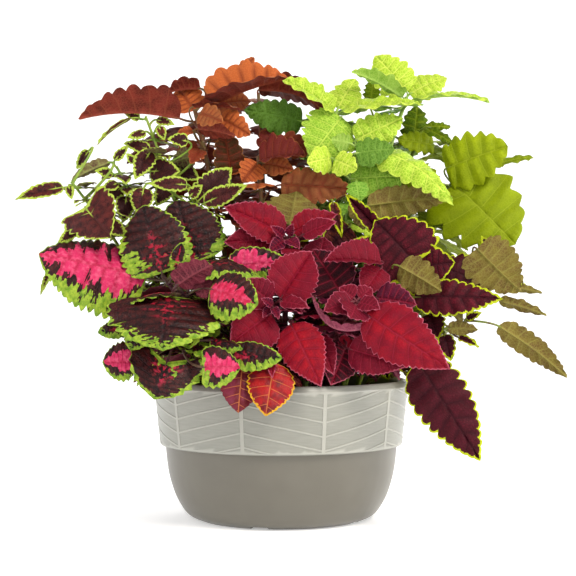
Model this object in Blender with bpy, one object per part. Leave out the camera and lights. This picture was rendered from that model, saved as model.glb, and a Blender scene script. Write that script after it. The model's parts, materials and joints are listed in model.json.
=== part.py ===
"""Mixed coleus planting in a round two-tone planter, modelled at its real size in metres.

The frame has +Z up, its origin on the table under the middle of the planter, and the front
of the planting towards -Y. Seven coleus plants share the planter. Each leafy shoot is one
solid, its leaves grown out of its own stem, and each stem stands in a hole in the soil.

Places of shoots and leaves are written as (across, up, near) in millimetres. Across and up
are read in a plane through the planter's axis, as they look from the front at VIEW_DISTANCE
and VIEW_HEIGHT, and near is how far the point stands out of that plane towards the front.
"""

import math
import random
from collections import namedtuple

import bmesh
import bpy
from mathutils import Vector
from mathutils.bvhtree import BVHTree

MM = 0.001

# Planter: outline of its outside below the band and of its rim, as (radius, height) in millimetres
BODY_OUTLINE = ((99, 0), (112, 6), (121, 18), (128.5, 34), (135, 58), (138.5, 88))
RIM_OUTLINE = ((151.2, 161), (148.8, 164.5), (145, 165), (142, 162), (142, 159), (147, 156))
BAND_FOOT_RADIUS = 144.5
BAND_FOOT_HEIGHT = 88.6
BAND_TOP_RADIUS = 151.8
BAND_TOP_HEIGHT = 157.0
WALL = 3.5
FLOOR_THICKNESS = 4.0
ROUND_SEGMENTS = 30

# Drainage under the planter, in millimetres
CHANNELS = 5
CHANNEL_START = -104.0
CHANNEL_WIDTH = 21.0
CHANNEL_HEIGHT = 3.0
CHANNEL_REACH = (42.0, 112.0)
DRAIN_PLACE = 70.0
DRAIN_RADIUS = 6.0

# Herringbone relief on the band, in millimetres and degrees
PANELS = 10
PANEL_START = -107.0
RIDGES = 5
RIDGE_START = -12.0
RIDGE_SPACING = 16.0
RIDGE_RISE = 21.0
RIDGE_WIDTH = 2.2
RIDGE_RELIEF = 0.9

# Soil, in millimetres
SOIL_TOP = 150.0
SOIL_GAP = (0.45, 0.35)
SOIL_RINGS = (110, 75, 38)
SOIL_LUMPS = 3.5
STEM_DEPTH = 14.0
STEM_FIT = 0.5

# Planting
VIEW_DISTANCE = 1800.0
VIEW_HEIGHT = 274.0
STEM_SPREAD = 0.42
STEM_REACH = 112.0
STEM_TAPER = (0.82, 0.5)
STEM_STEPS = 3
ROOT_SPACING = 2.6
STALK_STRAIGHT = 38.0
STALK_RISE = 0.25
STALK_KNEE = 0.45
STALK_STEPS = (0.05, 0.55, 1.0)
STALK_TAPER = 0.3
HEART_SHAPED = 0.2
STALK_INSET = 0.14
STALK_TIP = 0.3
STALK_RADIUS = 0.8
STALK_GROWTH = 0.007
SMALL_LEAF = 55.0
LARGE_LEAF = 72.0
WELD = 0.002
FLAT_ANGLE = 0.6
BLADE_THICKNESS = 1.6
CLEARANCE = 0.9
SEED = 7

STALK_SHARE = 0.22
LEAF_DROOP = 0.12

Kind = namedtuple("Kind", "size shoulder taper heart slant bite lean cuts wave waves fold arch colour")

KINDS = {
    "rust": Kind(80, 0.55, 0.85, 0.05, 0.50, 0.16, 0.50, 5, 0.05, 2.5, 8, 0.10, (0.48, 0.10, 0.04)),
    "lime": Kind(74, 0.50, 0.75, 0.08, 0.50, 0.17, 0.50, 5, 0.07, 3.0, -6, 0.10, (0.45, 0.75, 0.12)),
    "chartreuse": Kind(78, 0.42, 0.58, 0.12, 0.45, 0.30, 0.55, 4, 0.05, 2.0, -4, 0.06, (0.45, 0.52, 0.01)),
    "edged": Kind(34, 0.60, 1.00, 0.05, 0.50, 0.12, 0.55, 4, 0.07, 2.0, 6, 0.10, (0.12, 0.02, 0.03)),
    "mosaic": Kind(92, 0.50, 0.70, 0.10, 0.50, 0.10, 0.55, 5, 0.05, 3.0, -4, 0.12, (0.16, 0.05, 0.06)),
    "crimson": Kind(74, 0.60, 1.05, 0.03, 0.55, 0.09, 0.65, 5, 0.05, 2.0, 8, 0.08, (0.50, 0.01, 0.07)),
    "ember": Kind(60, 0.60, 0.90, 0.03, 0.50, 0.10, 0.60, 5, 0.04, 2.0, 4, 0.08, (0.50, 0.02, 0.03)),
    "wine": Kind(78, 0.55, 0.90, 0.05, 0.50, 0.15, 0.55, 5, 0.08, 3.0, 6, 0.10, (0.22, 0.01, 0.05)),
}

Leaf = namedtuple("Leaf", "base tip wide roll fold bow heart tone far")
Shoot = namedtuple("Shoot", "name kind top thick behind leaves")


def leaf(base, tip, wide, roll=0, fold=None, bow=0.06, heart=None, tone=0.5, far=False):
    """One leaf: where its blade starts and ends, its width, and how it is turned.

    Roll is 0 where the upper face looks to the front, 90 where it looks up and 180 where
    the underside looks to the front. Fold lifts the margins, in degrees, and bow arches
    the midrib, as a share of the leaf's length. Heart is how far the lobes at the base
    reach back, and tone shifts the leaf's colour within its plant's range. A far leaf, behind
    the stems, has fewer teeth.
    """
    return Leaf(base, tip, wide, roll, fold, bow, heart, tone, far)


SHOOTS = [
    Shoot("mosaic_upper", "mosaic", (-143, 290, 92), 4.5, 1, [
        leaf((-143, 293, 100), (-166, 373, 72), 86, 0, -5, tone=0.15),
        leaf((-106, 306, 72), (-124, 380, 46), 90, 0, -4, tone=0.15),
        leaf((-163, 287, 105), (-291, 315, 118), 112, 28, -26, 0.04, tone=1.0),
        leaf((-126, 298, 112), (-119, 328, 112), 20, 0, 20),
    ]),
    Shoot("mosaic_front", "mosaic", (-126, 278, 138), 4.5, 0, [
        leaf((-135, 263, 150), (-142, 198, 212), 140, 0, -8, 0.10, 0.40, tone=0.1),
        leaf((-118, 292, 124), (-20, 281, 138), 50, 50, -14, 0.20, tone=0.0),
        leaf((-62, 300, 100), (10, 304, 106), 46, 12, -8, tone=1.0),
        leaf((-84, 273, 150), (-27, 254, 166), 60, 10, -16, tone=0.75),
        leaf((-124, 278, 148), (-82, 302, 142), 38, 145, 18, tone=0.9),
        leaf((-100, 290, 132), (-89, 262, 148), 26, 150, 10, tone=0.9),
    ]),
    Shoot("ember_front", "ember", (-20, 214, 146), 3.0, 0, [
        leaf((-8, 184, 164), (-18, 120, 188), 54, 0, -6, tone=1.0),
        leaf((-46, 182, 160), (-51, 124, 176), 48, 0, -8, tone=0.0),
    ]),
    Shoot("mosaic_low", "mosaic", (-126, 216, 146), 4.0, 0, [
        leaf((-138, 181, 178), (-152, 140, 188), 86, 0, -4, 0.05, 0.80, tone=0.35),
        leaf((-176, 186, 162), (-214, 185, 164), 46, 0, tone=1.0),
        leaf((-184, 226, 146), (-220, 221, 150), 22, 10, tone=0.1),
        leaf((-163, 237, 160), (-180, 199, 172), 38, 8, tone=0.0),
        leaf((-92, 179, 184), (-48, 179, 190), 48, 0, heart=0.25, tone=1.0),
        leaf((-84, 212, 172), (-45, 201, 184), 24, 40, -30, tone=0.0),
        leaf((-60, 193, 176), (2, 190, 186), 34, 8, tone=0.3),
    ]),
    Shoot("crimson_top", "crimson", (8, 334, 60), 4.5, 0, [
        leaf((4, 338, 64), (-69, 372, 74), 50, 22, 14, tone=0.7),
        leaf((-6, 331, 70), (-69, 329, 84), 46, 10, tone=0.5),
        leaf((14, 341, 60), (68, 363, 54), 38, 28, 20, tone=0.8),
        leaf((26, 338, 66), (67, 354, 76), 28, 30, 12, tone=0.5),
        leaf((3, 336, 74), (-13, 349, 80), 14, 20, 25, tone=0.2),
        leaf((8, 332, 78), (23, 321, 92), 18, 30, 20, tone=0.2),
        leaf((4, 331, 76), (-15, 317, 92), 20, 20, 20, tone=0.2),
        leaf((9, 337, 74), (15, 352, 80), 13, 10, 25, tone=0.2),
    ]),
    Shoot("crimson_left", "crimson", (-10, 254, 142), 4.5, 0, [
        leaf((0, 262, 146), (37, 318, 126), 64, 4, 22, tone=0.6),
        leaf((0, 258, 156), (35, 250, 168), 22, 40, 10, tone=0.5),
        leaf((-12, 258, 150), (-47, 284, 148), 38, 12, tone=0.4),
        leaf((-12, 243, 150), (-61, 207, 170), 62, 5, tone=0.6),
        leaf((-10, 252, 158), (-24, 262, 164), 13, 30, 25, tone=0.1),
        leaf((-9, 250, 160), (-2, 236, 168), 12, 20, 25, tone=0.1),
        leaf((-12, 250, 160), (-22, 238, 168), 12, 20, 25, tone=0.1),
    ]),
    Shoot("crimson_right", "crimson", (90, 258, 146), 4.5, 0, [
        leaf((102, 243, 160), (204, 176, 184), 66, 0, -4, 0.05, tone=0.8),
        leaf((86, 258, 158), (51, 246, 172), 34, 30, 10, tone=0.3),
        leaf((94, 257, 158), (120, 248, 172), 26, 38, 10, tone=0.3),
        leaf((90, 254, 162), (84, 237, 182), 42, 0, 0, tone=0.3),
        leaf((88, 262, 152), (70, 275, 150), 26, 15, 15, tone=0.3),
        leaf((94, 262, 150), (110, 274, 144), 24, 20, 15, tone=0.4),
        leaf((104, 229, 152), (39, 266, 150), 26, 112, 12, -0.30, tone=0.9),
        leaf((114, 262, 128), (164, 254, 132), 42, 20, tone=0.2),
        leaf((82, 201, 146), (153, 180, 166), 46, 0, tone=0.4),
    ]),
    Shoot("crimson_back", "crimson", (122, 306, 88), 4.0, 0, [
        leaf((120, 304, 96), (51, 306, 112), 56, 48, 36, tone=0.5),
        leaf((72, 268, 108), (38, 321, 94), 62, 0, tone=0.0),
        leaf((120, 298, 102), (97, 265, 120), 38, 8, tone=0.6),
        leaf((44, 300, 82), (52, 336, 70), 46, 10, tone=0.3),
    ]),
    Shoot("crimson_low", "crimson", (14, 234, 132), 4.0, 0, [
        leaf((12, 231, 154), (49, 155, 184), 54, 0, -6, 0.06, tone=1.0),
        leaf((44, 216, 138), (64, 169, 160), 30, 5, tone=0.5),
        leaf((78, 203, 128), (60, 157, 158), 48, 0, tone=0.0),
        leaf((84, 213, 128), (70, 192, 148), 24, 0, tone=1.0),
        leaf((-12, 194, 160), (-10, 165, 174), 13, 0, tone=0.8),
    ]),
    Shoot("wine_main", "wine", (152, 312, 68), 4.5, 1, [
        leaf((160, 306, 76), (112, 356, 62), 86, 0, 6, 0.08, 0.22, tone=0.4),
        leaf((122, 338, 58), (77, 387, 54), 26, 0, 36, tone=0.2),
        leaf((140, 304, 80), (87, 333, 84), 42, 8, tone=0.3),
        leaf((163, 300, 86), (209, 305, 96), 52, 0, 6, 0.10, 0.15, tone=0.4),
        leaf((194, 298, 58), (255, 272, 54), 58, 18, -8, 0.10, tone=0.0),
        leaf((160, 263, 88), (267, 261, 104), 46, 18, -8, tone=0.4),
        leaf((143, 300, 94), (193, 270, 110), 44, 165, 10, tone=0.5),
        leaf((148, 308, 84), (132, 322, 92), 15, 10, 20, tone=0.5),
        leaf((154, 306, 88), (166, 293, 98), 15, 20, 20, tone=0.5),
    ]),
    Shoot("wine_trailing", "wine", (226, 236, 74), 3.0, 0, [
        leaf((166, 184, 146), (240, 66, 166), 68, 0, -6, 0.05, tone=0.1),
        leaf((262, 228, 78), (344, 166, 92), 32, 160, 10, 0.12, tone=0.5),
        leaf((200, 226, 88), (237, 224, 94), 19, 165, 10, tone=0.5),
        leaf((213, 215, 88), (238, 203, 94), 12, 30, 20, tone=0.3),
        leaf((222, 237, 78), (241, 245, 78), 11, 20, tone=0.3),
        leaf((178, 243, 64), (189, 213, 70), 32, 0, tone=0.0),
        leaf((196, 218, 74), (204, 186, 80), 22, 0, tone=0.0),
    ]),
    Shoot("wine_side", "wine", (232, 312, 34), 3.5, 0, [
        leaf((236, 320, 40), (288, 270, 48), 66, 168, 4, 0.08, 0.15, tone=0.5),
        leaf((266, 277, 46), (314, 268, 50), 13, 160, 10, tone=0.5),
        leaf((262, 259, 66), (319, 241, 76), 17, 150, 10, tone=0.5),
        leaf((252, 316, 46), (240, 337, 42), 13, 10, tone=0.0),
    ]),
    Shoot("wine_middle", "wine", (60, 384, 4), 3.5, 0, [
        leaf((10, 350, 34), (18, 390, 8), 78, 180, 0, tone=0.6),
        leaf((104, 373, 22), (206, 384, 8), 40, 170, 6, tone=0.4),
        leaf((86, 378, 40), (100, 344, 56), 22, 168, 8, tone=0.6),
        leaf((62, 377, 34), (73, 334, 50), 14, 0, tone=1.0),
        leaf((82, 348, 30), (51, 317, 42), 44, 0, tone=0.8),
    ]),
    Shoot("edged_top", "edged", (-163, 480, -26), 2.8, 2, [
        leaf((-181, 478, -15), (-222, 446, 5), 15, 60, 15, tone=0.8),
        leaf((-163, 462, -12), (-185, 454, 5), 16, 20, -20, tone=0.5),
        leaf((-147, 468, -28), (-140, 451, -22), 14, 10, tone=1.0),
        leaf((-170, 477, -26), (-189, 484, -26), 12, 20, tone=0.4),
        leaf((-150, 476, -34), (-128, 470, -32), 14, 20, tone=0.8),
        leaf((-158, 440, -14), (-190, 448, -12), 20, 30, tone=0.3),
    ]),
    Shoot("edged_far_left", "edged", (-252, 402, 30), 2.8, 0, [
        leaf((-234, 369, 70), (-203, 333, 96), 72, 0, -4, 0.05, 0.50, tone=0.6),
        leaf((-262, 395, 35), (-320, 380, 46), 23, 30, 8, tone=0.7),
        leaf((-207, 425, 14), (-253, 403, 30), 20, 140, 20, tone=0.6),
        leaf((-255, 397, 36), (-251, 380, 42), 12, 0, tone=0.4),
        leaf((-231, 439, 0), (-246, 416, 8), 15, 10, 20, tone=0.0),
    ]),
    Shoot("edged_left", "edged", (-198, 420, -2), 2.8, 1, [
        leaf((-200, 427, 4), (-183, 446, -6), 13, 10, tone=0.0),
        leaf((-202, 411, 10), (-224, 415, 20), 14, 10, tone=0.3),
        leaf((-196, 400, 18), (-216, 391, 28), 16, 20, tone=0.2),
        leaf((-176, 424, 8), (-186, 436, 6), 11, 10, tone=0.4),
        leaf((-190, 396, 0), (-212, 378, 4), 24, 20, tone=0.2),
        leaf((-186, 384, 6), (-190, 352, 14), 26, 10, tone=0.1),
    ]),
    Shoot("edged_middle", "edged", (-152, 442, -6), 2.8, 1, [
        leaf((-157, 438, 4), (-176, 404, 24), 28, 5, tone=0.1),
        leaf((-157, 414, 10), (-121, 414, 20), 36, 15, tone=0.1),
        leaf((-106, 432, -10), (-132, 424, -4), 30, 160, 10, tone=0.2),
        leaf((-112, 450, -22), (-137, 453, -20), 22, 20, tone=0.0),
        leaf((-132, 402, -10), (-150, 372, 0), 28, 15, tone=0.1),
        leaf((-128, 420, -20), (-98, 404, -18), 26, 15, tone=0.0),
    ]),
    Shoot("edged_right", "edged", (-108, 386, 26), 2.8, 0, [
        leaf((-113, 398, 26), (-160, 399, 36), 20, 12, tone=0.5),
        leaf((-110, 384, 36), (-94, 398, 40), 16, 8, tone=0.4),
        leaf((-100, 378, 30), (-59, 419, 14), 40, 0, tone=0.0),
        leaf((-92, 376, 44), (-40, 398, 50), 25, 5, tone=0.5),
        leaf((-165, 394, 32), (-171, 360, 42), 30, 0, tone=0.5),
    ]),
    Shoot("edged_heart", "edged", (-222, 388, 46), 2.8, 0, [
        leaf((-244, 345, 56), (-269, 326, 66), 16, 10, tone=0.2),
        leaf((-276, 297, 62), (-289, 265, 74), 9, 10, tone=0.4),
        leaf((-206, 352, 50), (-186, 336, 56), 20, 10, tone=0.3),
    ]),
    Shoot("rust_main", "rust", (-104, 488, -36), 5.0, 3, [
        leaf((-123, 478, -32), (-244, 477, -10), 84, 100, 46, 0.07, tone=0.9),
        leaf((-80, 496, -34), (9, 526, -24), 92, 62, 42, 0.04, 0.20, tone=0.0),
        leaf((-98, 514, -60), (-139, 508, -56), 38, 100, 42, tone=0.9),
        leaf((-105, 487, -48), (-125, 514, -64), 46, 12, tone=0.1),
        leaf((-106, 492, -22), (-48, 488, -6), 34, 94, 8, tone=0.9),
        leaf((-78, 494, -62), (-36, 498, -66), 42, 35, tone=0.3),
        leaf((-98, 484, -18), (-70, 473, -2), 32, 12, tone=0.35),
        leaf((-74, 478, -18), (-37, 457, -2), 36, 4, tone=0.1),
        leaf((-100, 465, -14), (-55, 456, 4), 28, 135, 10, tone=0.8),
        leaf((-106, 463, -18), (-125, 460, -6), 15, 30, tone=0.2),
        leaf((-100, 444, -24), (-125, 440, -14), 19, 40, tone=0.6),
        leaf((-97, 440, -18), (-109, 423, -6), 22, 8, tone=0.5),
        leaf((-60, 410, -24), (-70, 466, -8), 40, 12, 10, tone=1.0),
        leaf((-48, 532, -76), (-33, 551, -80), 20, 10, tone=0.1),
    ]),
    Shoot("rust_middle", "rust", (-28, 432, -18), 4.5, 0, [
        leaf((-26, 427, -10), (29, 433, 4), 68, 50, 34, 0.05, tone=0.85),
        leaf((-28, 424, -4), (-47, 401, 10), 36, 4, tone=0.15),
        leaf((-22, 424, -4), (15, 416, 10), 30, 14, tone=0.3),
        leaf((0, 453, -30), (31, 432, -26), 36, 8, tone=0.5),
        leaf((-22, 440, -30), (-3, 471, -46), 30, 15, tone=0.8),
        leaf((0, 398, -2), (86, 392, 8), 48, 10, 0, 0.05, tone=0.4),
    ]),
    Shoot("rust_back", "rust", (-28, 508, -84), 4.0, 3, [
        leaf((-27, 512, -76), (55, 483, -62), 64, 118, 18, 0.14, tone=0.7),
    ]),
    Shoot("lime_left", "lime", (66, 486, -32), 4.5, 2, [
        leaf((72, 479, -15), (35, 431, 14), 74, 0, -8, tone=0.5),
        leaf((62, 487, -24), (1, 523, -15), 47, 52, 22, tone=0.8),
        leaf((68, 490, -38), (89, 525, -56), 42, 14, tone=0.8),
        leaf((24, 474, -40), (-45, 488, -32), 46, 10, tone=0.0),
        leaf((76, 488, -20), (168, 494, 4), 44, 66, 8, tone=0.9),
    ]),
    Shoot("lime_right", "lime", (150, 503, -52), 4.5, 2, [
        leaf((150, 510, -56), (112, 553, -62), 58, 14, tone=0.9),
        leaf((145, 504, -50), (84, 534, -42), 42, 112, 18, tone=0.8),
        leaf((154, 507, -50), (198, 527, -60), 44, 34, tone=0.9),
        leaf((158, 499, -46), (251, 497, -26), 38, 76, 12, 0.08, tone=0.8),
    ]),
    Shoot("lime_front", "lime", (96, 442, -2), 4.5, 0, [
        leaf((112, 440, 10), (207, 373, 24), 48, 34, -22, 0.16, tone=0.7),
        leaf((90, 452, 0), (146, 478, -10), 46, 8, tone=0.7),
        leaf((84, 405, 14), (151, 407, 20), 52, 18, tone=0.4),
        leaf((90, 436, 20), (136, 441, 15), 40, 18, tone=0.1),
        leaf((64, 428, 20), (91, 416, 34), 34, 4, tone=0.9),
        leaf((60, 430, 20), (31, 424, 30), 36, 8, tone=0.9),
        leaf((38, 412, 4), (1, 402, 0), 24, 18, tone=0.2),
        leaf((90, 402, 18), (94, 377, 28), 28, 0, tone=0.3),
        leaf((82, 448, 4), (60, 452, 4), 26, 150, tone=0.9),
    ]),
    Shoot("chartreuse_top", "chartreuse", (168, 462, -92), 4.0, 2, [
        leaf((158, 450, -90), (163, 492, -96), 38, 4, tone=0.1),
        leaf((174, 468, -86), (203, 467, -78), 14, 25, tone=0.2),
        leaf((174, 465, -82), (207, 447, -72), 15, 25, tone=0.2),
        leaf((182, 446, -78), (139, 452, -72), 32, 15, tone=0.6),
        leaf((107, 499, -96), (110, 524, -100), 24, 0, tone=0.3),
    ]),
    Shoot("chartreuse_side", "chartreuse", (210, 408, -46), 4.5, 1, [
        leaf((211, 396, -24), (281, 326, 0), 118, 4, -4, 0.05, 0.30, tone=0.5),
        leaf((198, 418, -46), (272, 444, -46), 72, 0, -4, tone=0.8),
        leaf((262, 424, -54), (303, 431, -54), 14, 45, tone=0.4),
        leaf((152, 418, -52), (191, 383, -42), 44, 0, tone=0.4),
        leaf((222, 404, -64), (204, 394, -58), 18, 0, tone=0.0),
    ]),
]


# Shoots of the far side, whose leaves follow a rule: (name, kind, top, pairs of leaves)
FAR_SHOOTS = [
    ("rust_rear", "rust", (-72, 458, -118), 5),
    ("lime_rear", "lime", (62, 462, -124), 5),
    ("chartreuse_rear", "chartreuse", (172, 396, -128), 4),
    ("edged_rear", "edged", (-180, 384, -100), 6),
    ("mosaic_rear", "mosaic", (-128, 290, -150), 4),
    ("crimson_rear", "crimson", (5, 335, -172), 5),
    ("wine_rear", "wine", (132, 298, -160), 4),
    ("rust_low", "rust", (-62, 235, -185), 3),
    ("lime_low", "lime", (62, 228, -185), 3),
]


def spot(across, up, near):
    """The point that looks to be at (across, up) from the front, near millimetres out of the axis plane."""
    shrink = 1 - near / VIEW_DISTANCE
    height = VIEW_HEIGHT + (up - VIEW_HEIGHT) * shrink
    return Vector((across * shrink, -near, height)) * MM


def leaf_axes(base, tip, roll):
    """The leaf's own axes: along its chord, across it to the left, and out of its upper face."""
    along = (tip - base).normalized()
    to_front = Vector((0, -1, 0))
    facing = (to_front - along * along.dot(to_front)).normalized()
    sideways = along.cross(facing)
    if sideways.z < -0.15 or (abs(sideways.z) <= 0.15 and sideways.x < 0):
        sideways = -sideways
    turn = math.radians(roll)
    out = facing * math.cos(turn) + sideways * math.sin(turn)
    return along, out.cross(along), out


class Blade:
    """The curved surface of one leaf, on which flat (along, across) places become points."""

    def __init__(self, kind, plan, base, tip, roll, phase):
        self.kind = kind
        self.base = base
        self.tip = tip
        self.length = (tip - base).length
        self.along, self.left, self.out = leaf_axes(base, tip, roll)
        self.half = plan.wide / 2 * MM
        self.fold = math.radians(kind.fold if plan.fold is None else plan.fold)
        self.heart = kind.heart if plan.heart is None else plan.heart
        self.bow = plan.bow
        self.far = plan.far
        self.stalk = STALK_RADIUS * MM + STALK_GROWTH * self.length
        self.phase = phase

    def width_at(self, t, tooth):
        """Half the blade's width at share t of its length, where tooth is 0 in a notch and 1 on a point."""
        kind = self.kind
        peak = kind.shoulder / (kind.shoulder + kind.taper)
        most = peak**kind.shoulder * (1 - peak) ** kind.taper
        body = t**kind.shoulder * (1 - t) ** kind.taper / most
        cut = kind.bite * min(1, t / 0.15) * (1 - tooth)
        return self.half * body * (1 - cut) + self.stalk * (1 - t) ** 6

    def margin(self, t, tooth):
        """Flat place of the margin where the side vein from share t of the midrib ends."""
        lobe = (t + 0.01) / 0.18 * math.exp(1 - t / 0.18)
        ahead = t + self.kind.slant * t * (1 - t)
        return ahead - self.heart * lobe, self.width_at(ahead, tooth)

    def point(self, along, across, lift=0.0):
        """The point of the blade at a flat place, lifted off its upper face."""
        rise = 4 * self.bow * self.length
        middle = self.base + self.along * (along * self.length) + self.out * (rise * along * (1 - along))
        slope = self.along * self.length + self.out * (rise * (1 - 2 * along))
        normal = slope.normalized().cross(self.left)
        reach = abs(across)
        share = reach / self.half
        turns = self.kind.waves * along + self.phase + (0.37 if across > 0 else 0)
        ripple = self.kind.wave * self.half * share**2 * math.sin(2 * math.pi * turns)
        droop = self.kind.arch * self.half * share**2
        height = reach * math.sin(self.fold) - droop + ripple + lift
        sideways = math.copysign(reach * math.cos(self.fold), across)
        return middle + self.left * sideways + normal * height


def tooth_count(blade):
    """Cuts on each margin of the solid blade: fewer on a small or a far leaf."""
    if blade.far or blade.length < SMALL_LEAF * MM:
        return max(3, blade.kind.cuts - 2)
    return max(3, blade.kind.cuts - 1) if blade.length < LARGE_LEAF * MM else blade.kind.cuts


def leaf_mesh(blade, root):
    """Vertices and triangles of one leaf, the blade's first, then those of its stalk down to root."""
    cuts = tooth_count(blade)
    thickness = BLADE_THICKNESS * MM * min(1, 0.5 + blade.length / MM / 80)
    verts = []
    faces = []

    def add(point):
        verts.append(point)
        return len(verts) - 1

    ribs = []
    for j in range(cuts):
        along = j / cuts
        top = add(blade.point(along, 0))
        ribs.append((top, add(blade.point(along, 0, -thickness))))
    end = add(blade.point(1, 0))
    sides = {}
    for side in (1, -1):
        edge = []
        for j in range(cuts):
            for phase, tooth in ((0, 0), (blade.kind.lean, 1)):
                along, across = blade.margin((j + phase) / cuts, tooth)
                edge.append(add(blade.point(along, side * across)))
        sides[side] = edge + [end]

    def face(a, b, c, side, upper):
        faces.append((a, b, c) if (side > 0) == upper else (a, c, b))

    for side, edge in sides.items():
        for upper in (True, False):
            layer = 0 if upper else 1
            for j in range(cuts):
                near = ribs[j][layer]
                far = ribs[j + 1][layer] if j + 1 < cuts else end
                notch, peak, following = edge[2 * j], edge[2 * j + 1], edge[2 * j + 2]
                face(near, peak, notch, side, upper)
                face(near, far, peak, side, upper)
                if far != following:
                    face(far, following, peak, side, upper)
    top, bottom = ribs[0]
    left, right = sides[1][0], sides[-1][0]
    if blade.heart > HEART_SHAPED:
        faces += [(top, left, bottom), (top, bottom, right)]
        inner = blade.point(STALK_INSET, 0, -thickness / 2)
        blade_faces = len(faces)
        add_stalk(blade, root, None, inner, add, faces)
    else:
        blade_faces = len(faces)
        add_stalk(blade, root, (top, bottom, left, right), None, add, faces)
    return verts, faces, blade_faces


def three_ways(across, upward):
    """The three corner directions of a stalk."""
    return (across + upward * 0.5, -upward, upward * 0.5 - across)


def add_stalk(blade, root, foot, inner, add, faces):
    """A three-sided stalk that leaves the blade straight and bends to the stem, closed at the stem.

    It grows from the four corners of the blade's foot. Below a heart-shaped blade, which has
    lobes beside its foot, it's a closed solid of its own that starts inside the blade.
    """
    start = blade.point(0, 0)
    facing = (blade.point(0.05, 0) - start).normalized()
    across = blade.left
    upward = facing.cross(across)
    span = (start - root).length
    turn = facing.angle(start - root)
    away = (facing + upward * STALK_RISE).normalized()
    knee = start - away * max(STALK_KNEE * span, 2 * blade.stalk)
    bent = span > STALK_STRAIGHT * MM or turn > 1
    steps = STALK_STEPS[1:] if bent else STALK_STEPS[2:]
    ring = None
    if foot is None:
        ring = [add(inner + way * STALK_TIP * MM) for way in three_ways(across, upward)]
        faces.append((ring[0], ring[2], ring[1]))
        start -= upward * blade.stalk
        knee -= upward * blade.stalk
        steps = (STALK_STEPS[0], *steps)
    else:
        top, bottom, left, right = foot
    for t in steps:
        centre = start * (1 - t) ** 2 + knee * (2 * t * (1 - t)) + root * t**2
        towards = (start * (1 - t) + knee * (2 * t - 1) - root * t).normalized()
        swing = facing.rotation_difference(towards)
        facing, across, upward = towards, swing @ across, swing @ upward
        radius = blade.stalk * (1 - STALK_TAPER * t)
        following = [add(centre + way * radius) for way in three_ways(across, upward)]
        if ring is None:
            faces.append((top, left, following[0]))
            faces.append((top, following[0], following[2]))
            faces.append((top, following[2], right))
            pairs = ((left, bottom, 0, 1), (bottom, right, 1, 2))
        else:
            pairs = ((ring[0], ring[1], 0, 1), (ring[1], ring[2], 1, 2), (ring[2], ring[0], 2, 0))
        for one, two, k, m in pairs:
            faces.append((one, two, following[m]))
            faces.append((one, following[m], following[k]))
        ring = following
    faces.append((ring[0], ring[1], ring[2]))


def leaf_solids(blade, root):
    """The closed meshes of one leaf: blade and stalk in one, or one for each if it's heart-shaped."""
    verts, faces, blade_faces = leaf_mesh(blade, root)
    if blade.heart <= HEART_SHAPED:
        return [(verts, faces)]
    solids = []
    for own in (faces[:blade_faces], faces[blade_faces:]):
        used = sorted({corner for face in own for corner in face})
        place = {corner: k for k, corner in enumerate(used)}
        numbered = [tuple(place[corner] for corner in face) for face in own]
        solids.append(([verts[corner] for corner in used], numbered))
    return solids


def stem_line(shoot, foot_move):
    """Centre points of a shoot's stem, from its foot in the soil up to its top."""
    top = spot(*shoot.top)
    foot = Vector((top.x, top.y, 0)) * STEM_SPREAD + foot_move * MM
    reach = STEM_REACH * MM
    if foot.length > reach:
        foot = foot * (reach / foot.length)
    surface = Vector((foot.x, foot.y, SOIL_TOP * MM))
    bend = surface.lerp(top, 0.45)
    bend.z = surface.z + (top.z - surface.z) * 0.62
    points = [surface - Vector((0, 0, STEM_DEPTH * MM))]
    for k in range(STEM_STEPS + 1):
        t = k / STEM_STEPS
        points.append(surface * (1 - t) ** 2 + bend * (2 * t * (1 - t)) + top * t**2)
    return points


def stem_mesh(points, thick):
    """A square stem along its centre points, thinner towards the top."""
    verts = []
    faces = []
    last = len(points) - 1
    for k, point in enumerate(points):
        ahead = points[min(k + 1, last)] - points[max(k - 1, 0)]
        ahead.normalize()
        if k <= 1:
            ahead = Vector((0, 0, 1))
        side = ahead.cross(Vector((0, 1, 0))).normalized()
        front = ahead.cross(side)
        radius = thick * MM * (STEM_TAPER[0] + (STEM_TAPER[1] - STEM_TAPER[0]) * max(k - 1, 0) / (last - 1))
        verts += [point + way * radius for way in (side, front, -side, -front)]
    for k in range(last):
        for m in range(4):
            a, b = 4 * k + m, 4 * k + (m + 1) % 4
            faces.append((a, b, b + 4))
            faces.append((a, b + 4, a + 4))
    faces += [(0, 2, 1), (0, 3, 2)]
    e = 4 * last
    faces += [(e, e + 1, e + 2), (e, e + 2, e + 3)]
    return verts, faces


def stem_root(points, start, taken):
    """Where a leaf's stalk leaves its stem: a little below the blade's start, apart from those taken."""
    level = min((start - p).length for p in points)
    aim = start - Vector((0, 0, 0.45 * level))
    places = []
    for a, b in zip(points[2:], points[3:]):
        count = max(2, round((b - a).length / (ROOT_SPACING * MM)))
        places += [a.lerp(b, s / count) for s in range(1, count)]
    free = [p for p in places if all((p - other).length > ROOT_SPACING * MM for other in taken)]
    return min(free or places, key=lambda p: (p - aim).length)


def is_clear(verts, faces, others):
    """True if the mesh, and its copies moved by the clearance each way, cross none of the others."""
    low = Vector(map(min, zip(*verts)))
    high = Vector(map(max, zip(*verts)))
    margin = CLEARANCE * MM
    close = [
        tree for tree, lowest, highest in others
        if all(lowest[i] < high[i] + margin and highest[i] > low[i] - margin for i in range(3))
    ]
    if not close:
        return True
    shifts = [Vector((0, 0, 0))]
    for i in range(3):
        for sign in (-1, 1):
            shift = Vector((0, 0, 0))
            shift[i] = sign * margin
            shifts.append(shift)
    for shift in shifts:
        tree = BVHTree.FromPolygons([v + shift for v in verts], faces)
        if any(tree.overlap(other) for other in close):
            return False
    return True


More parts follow.
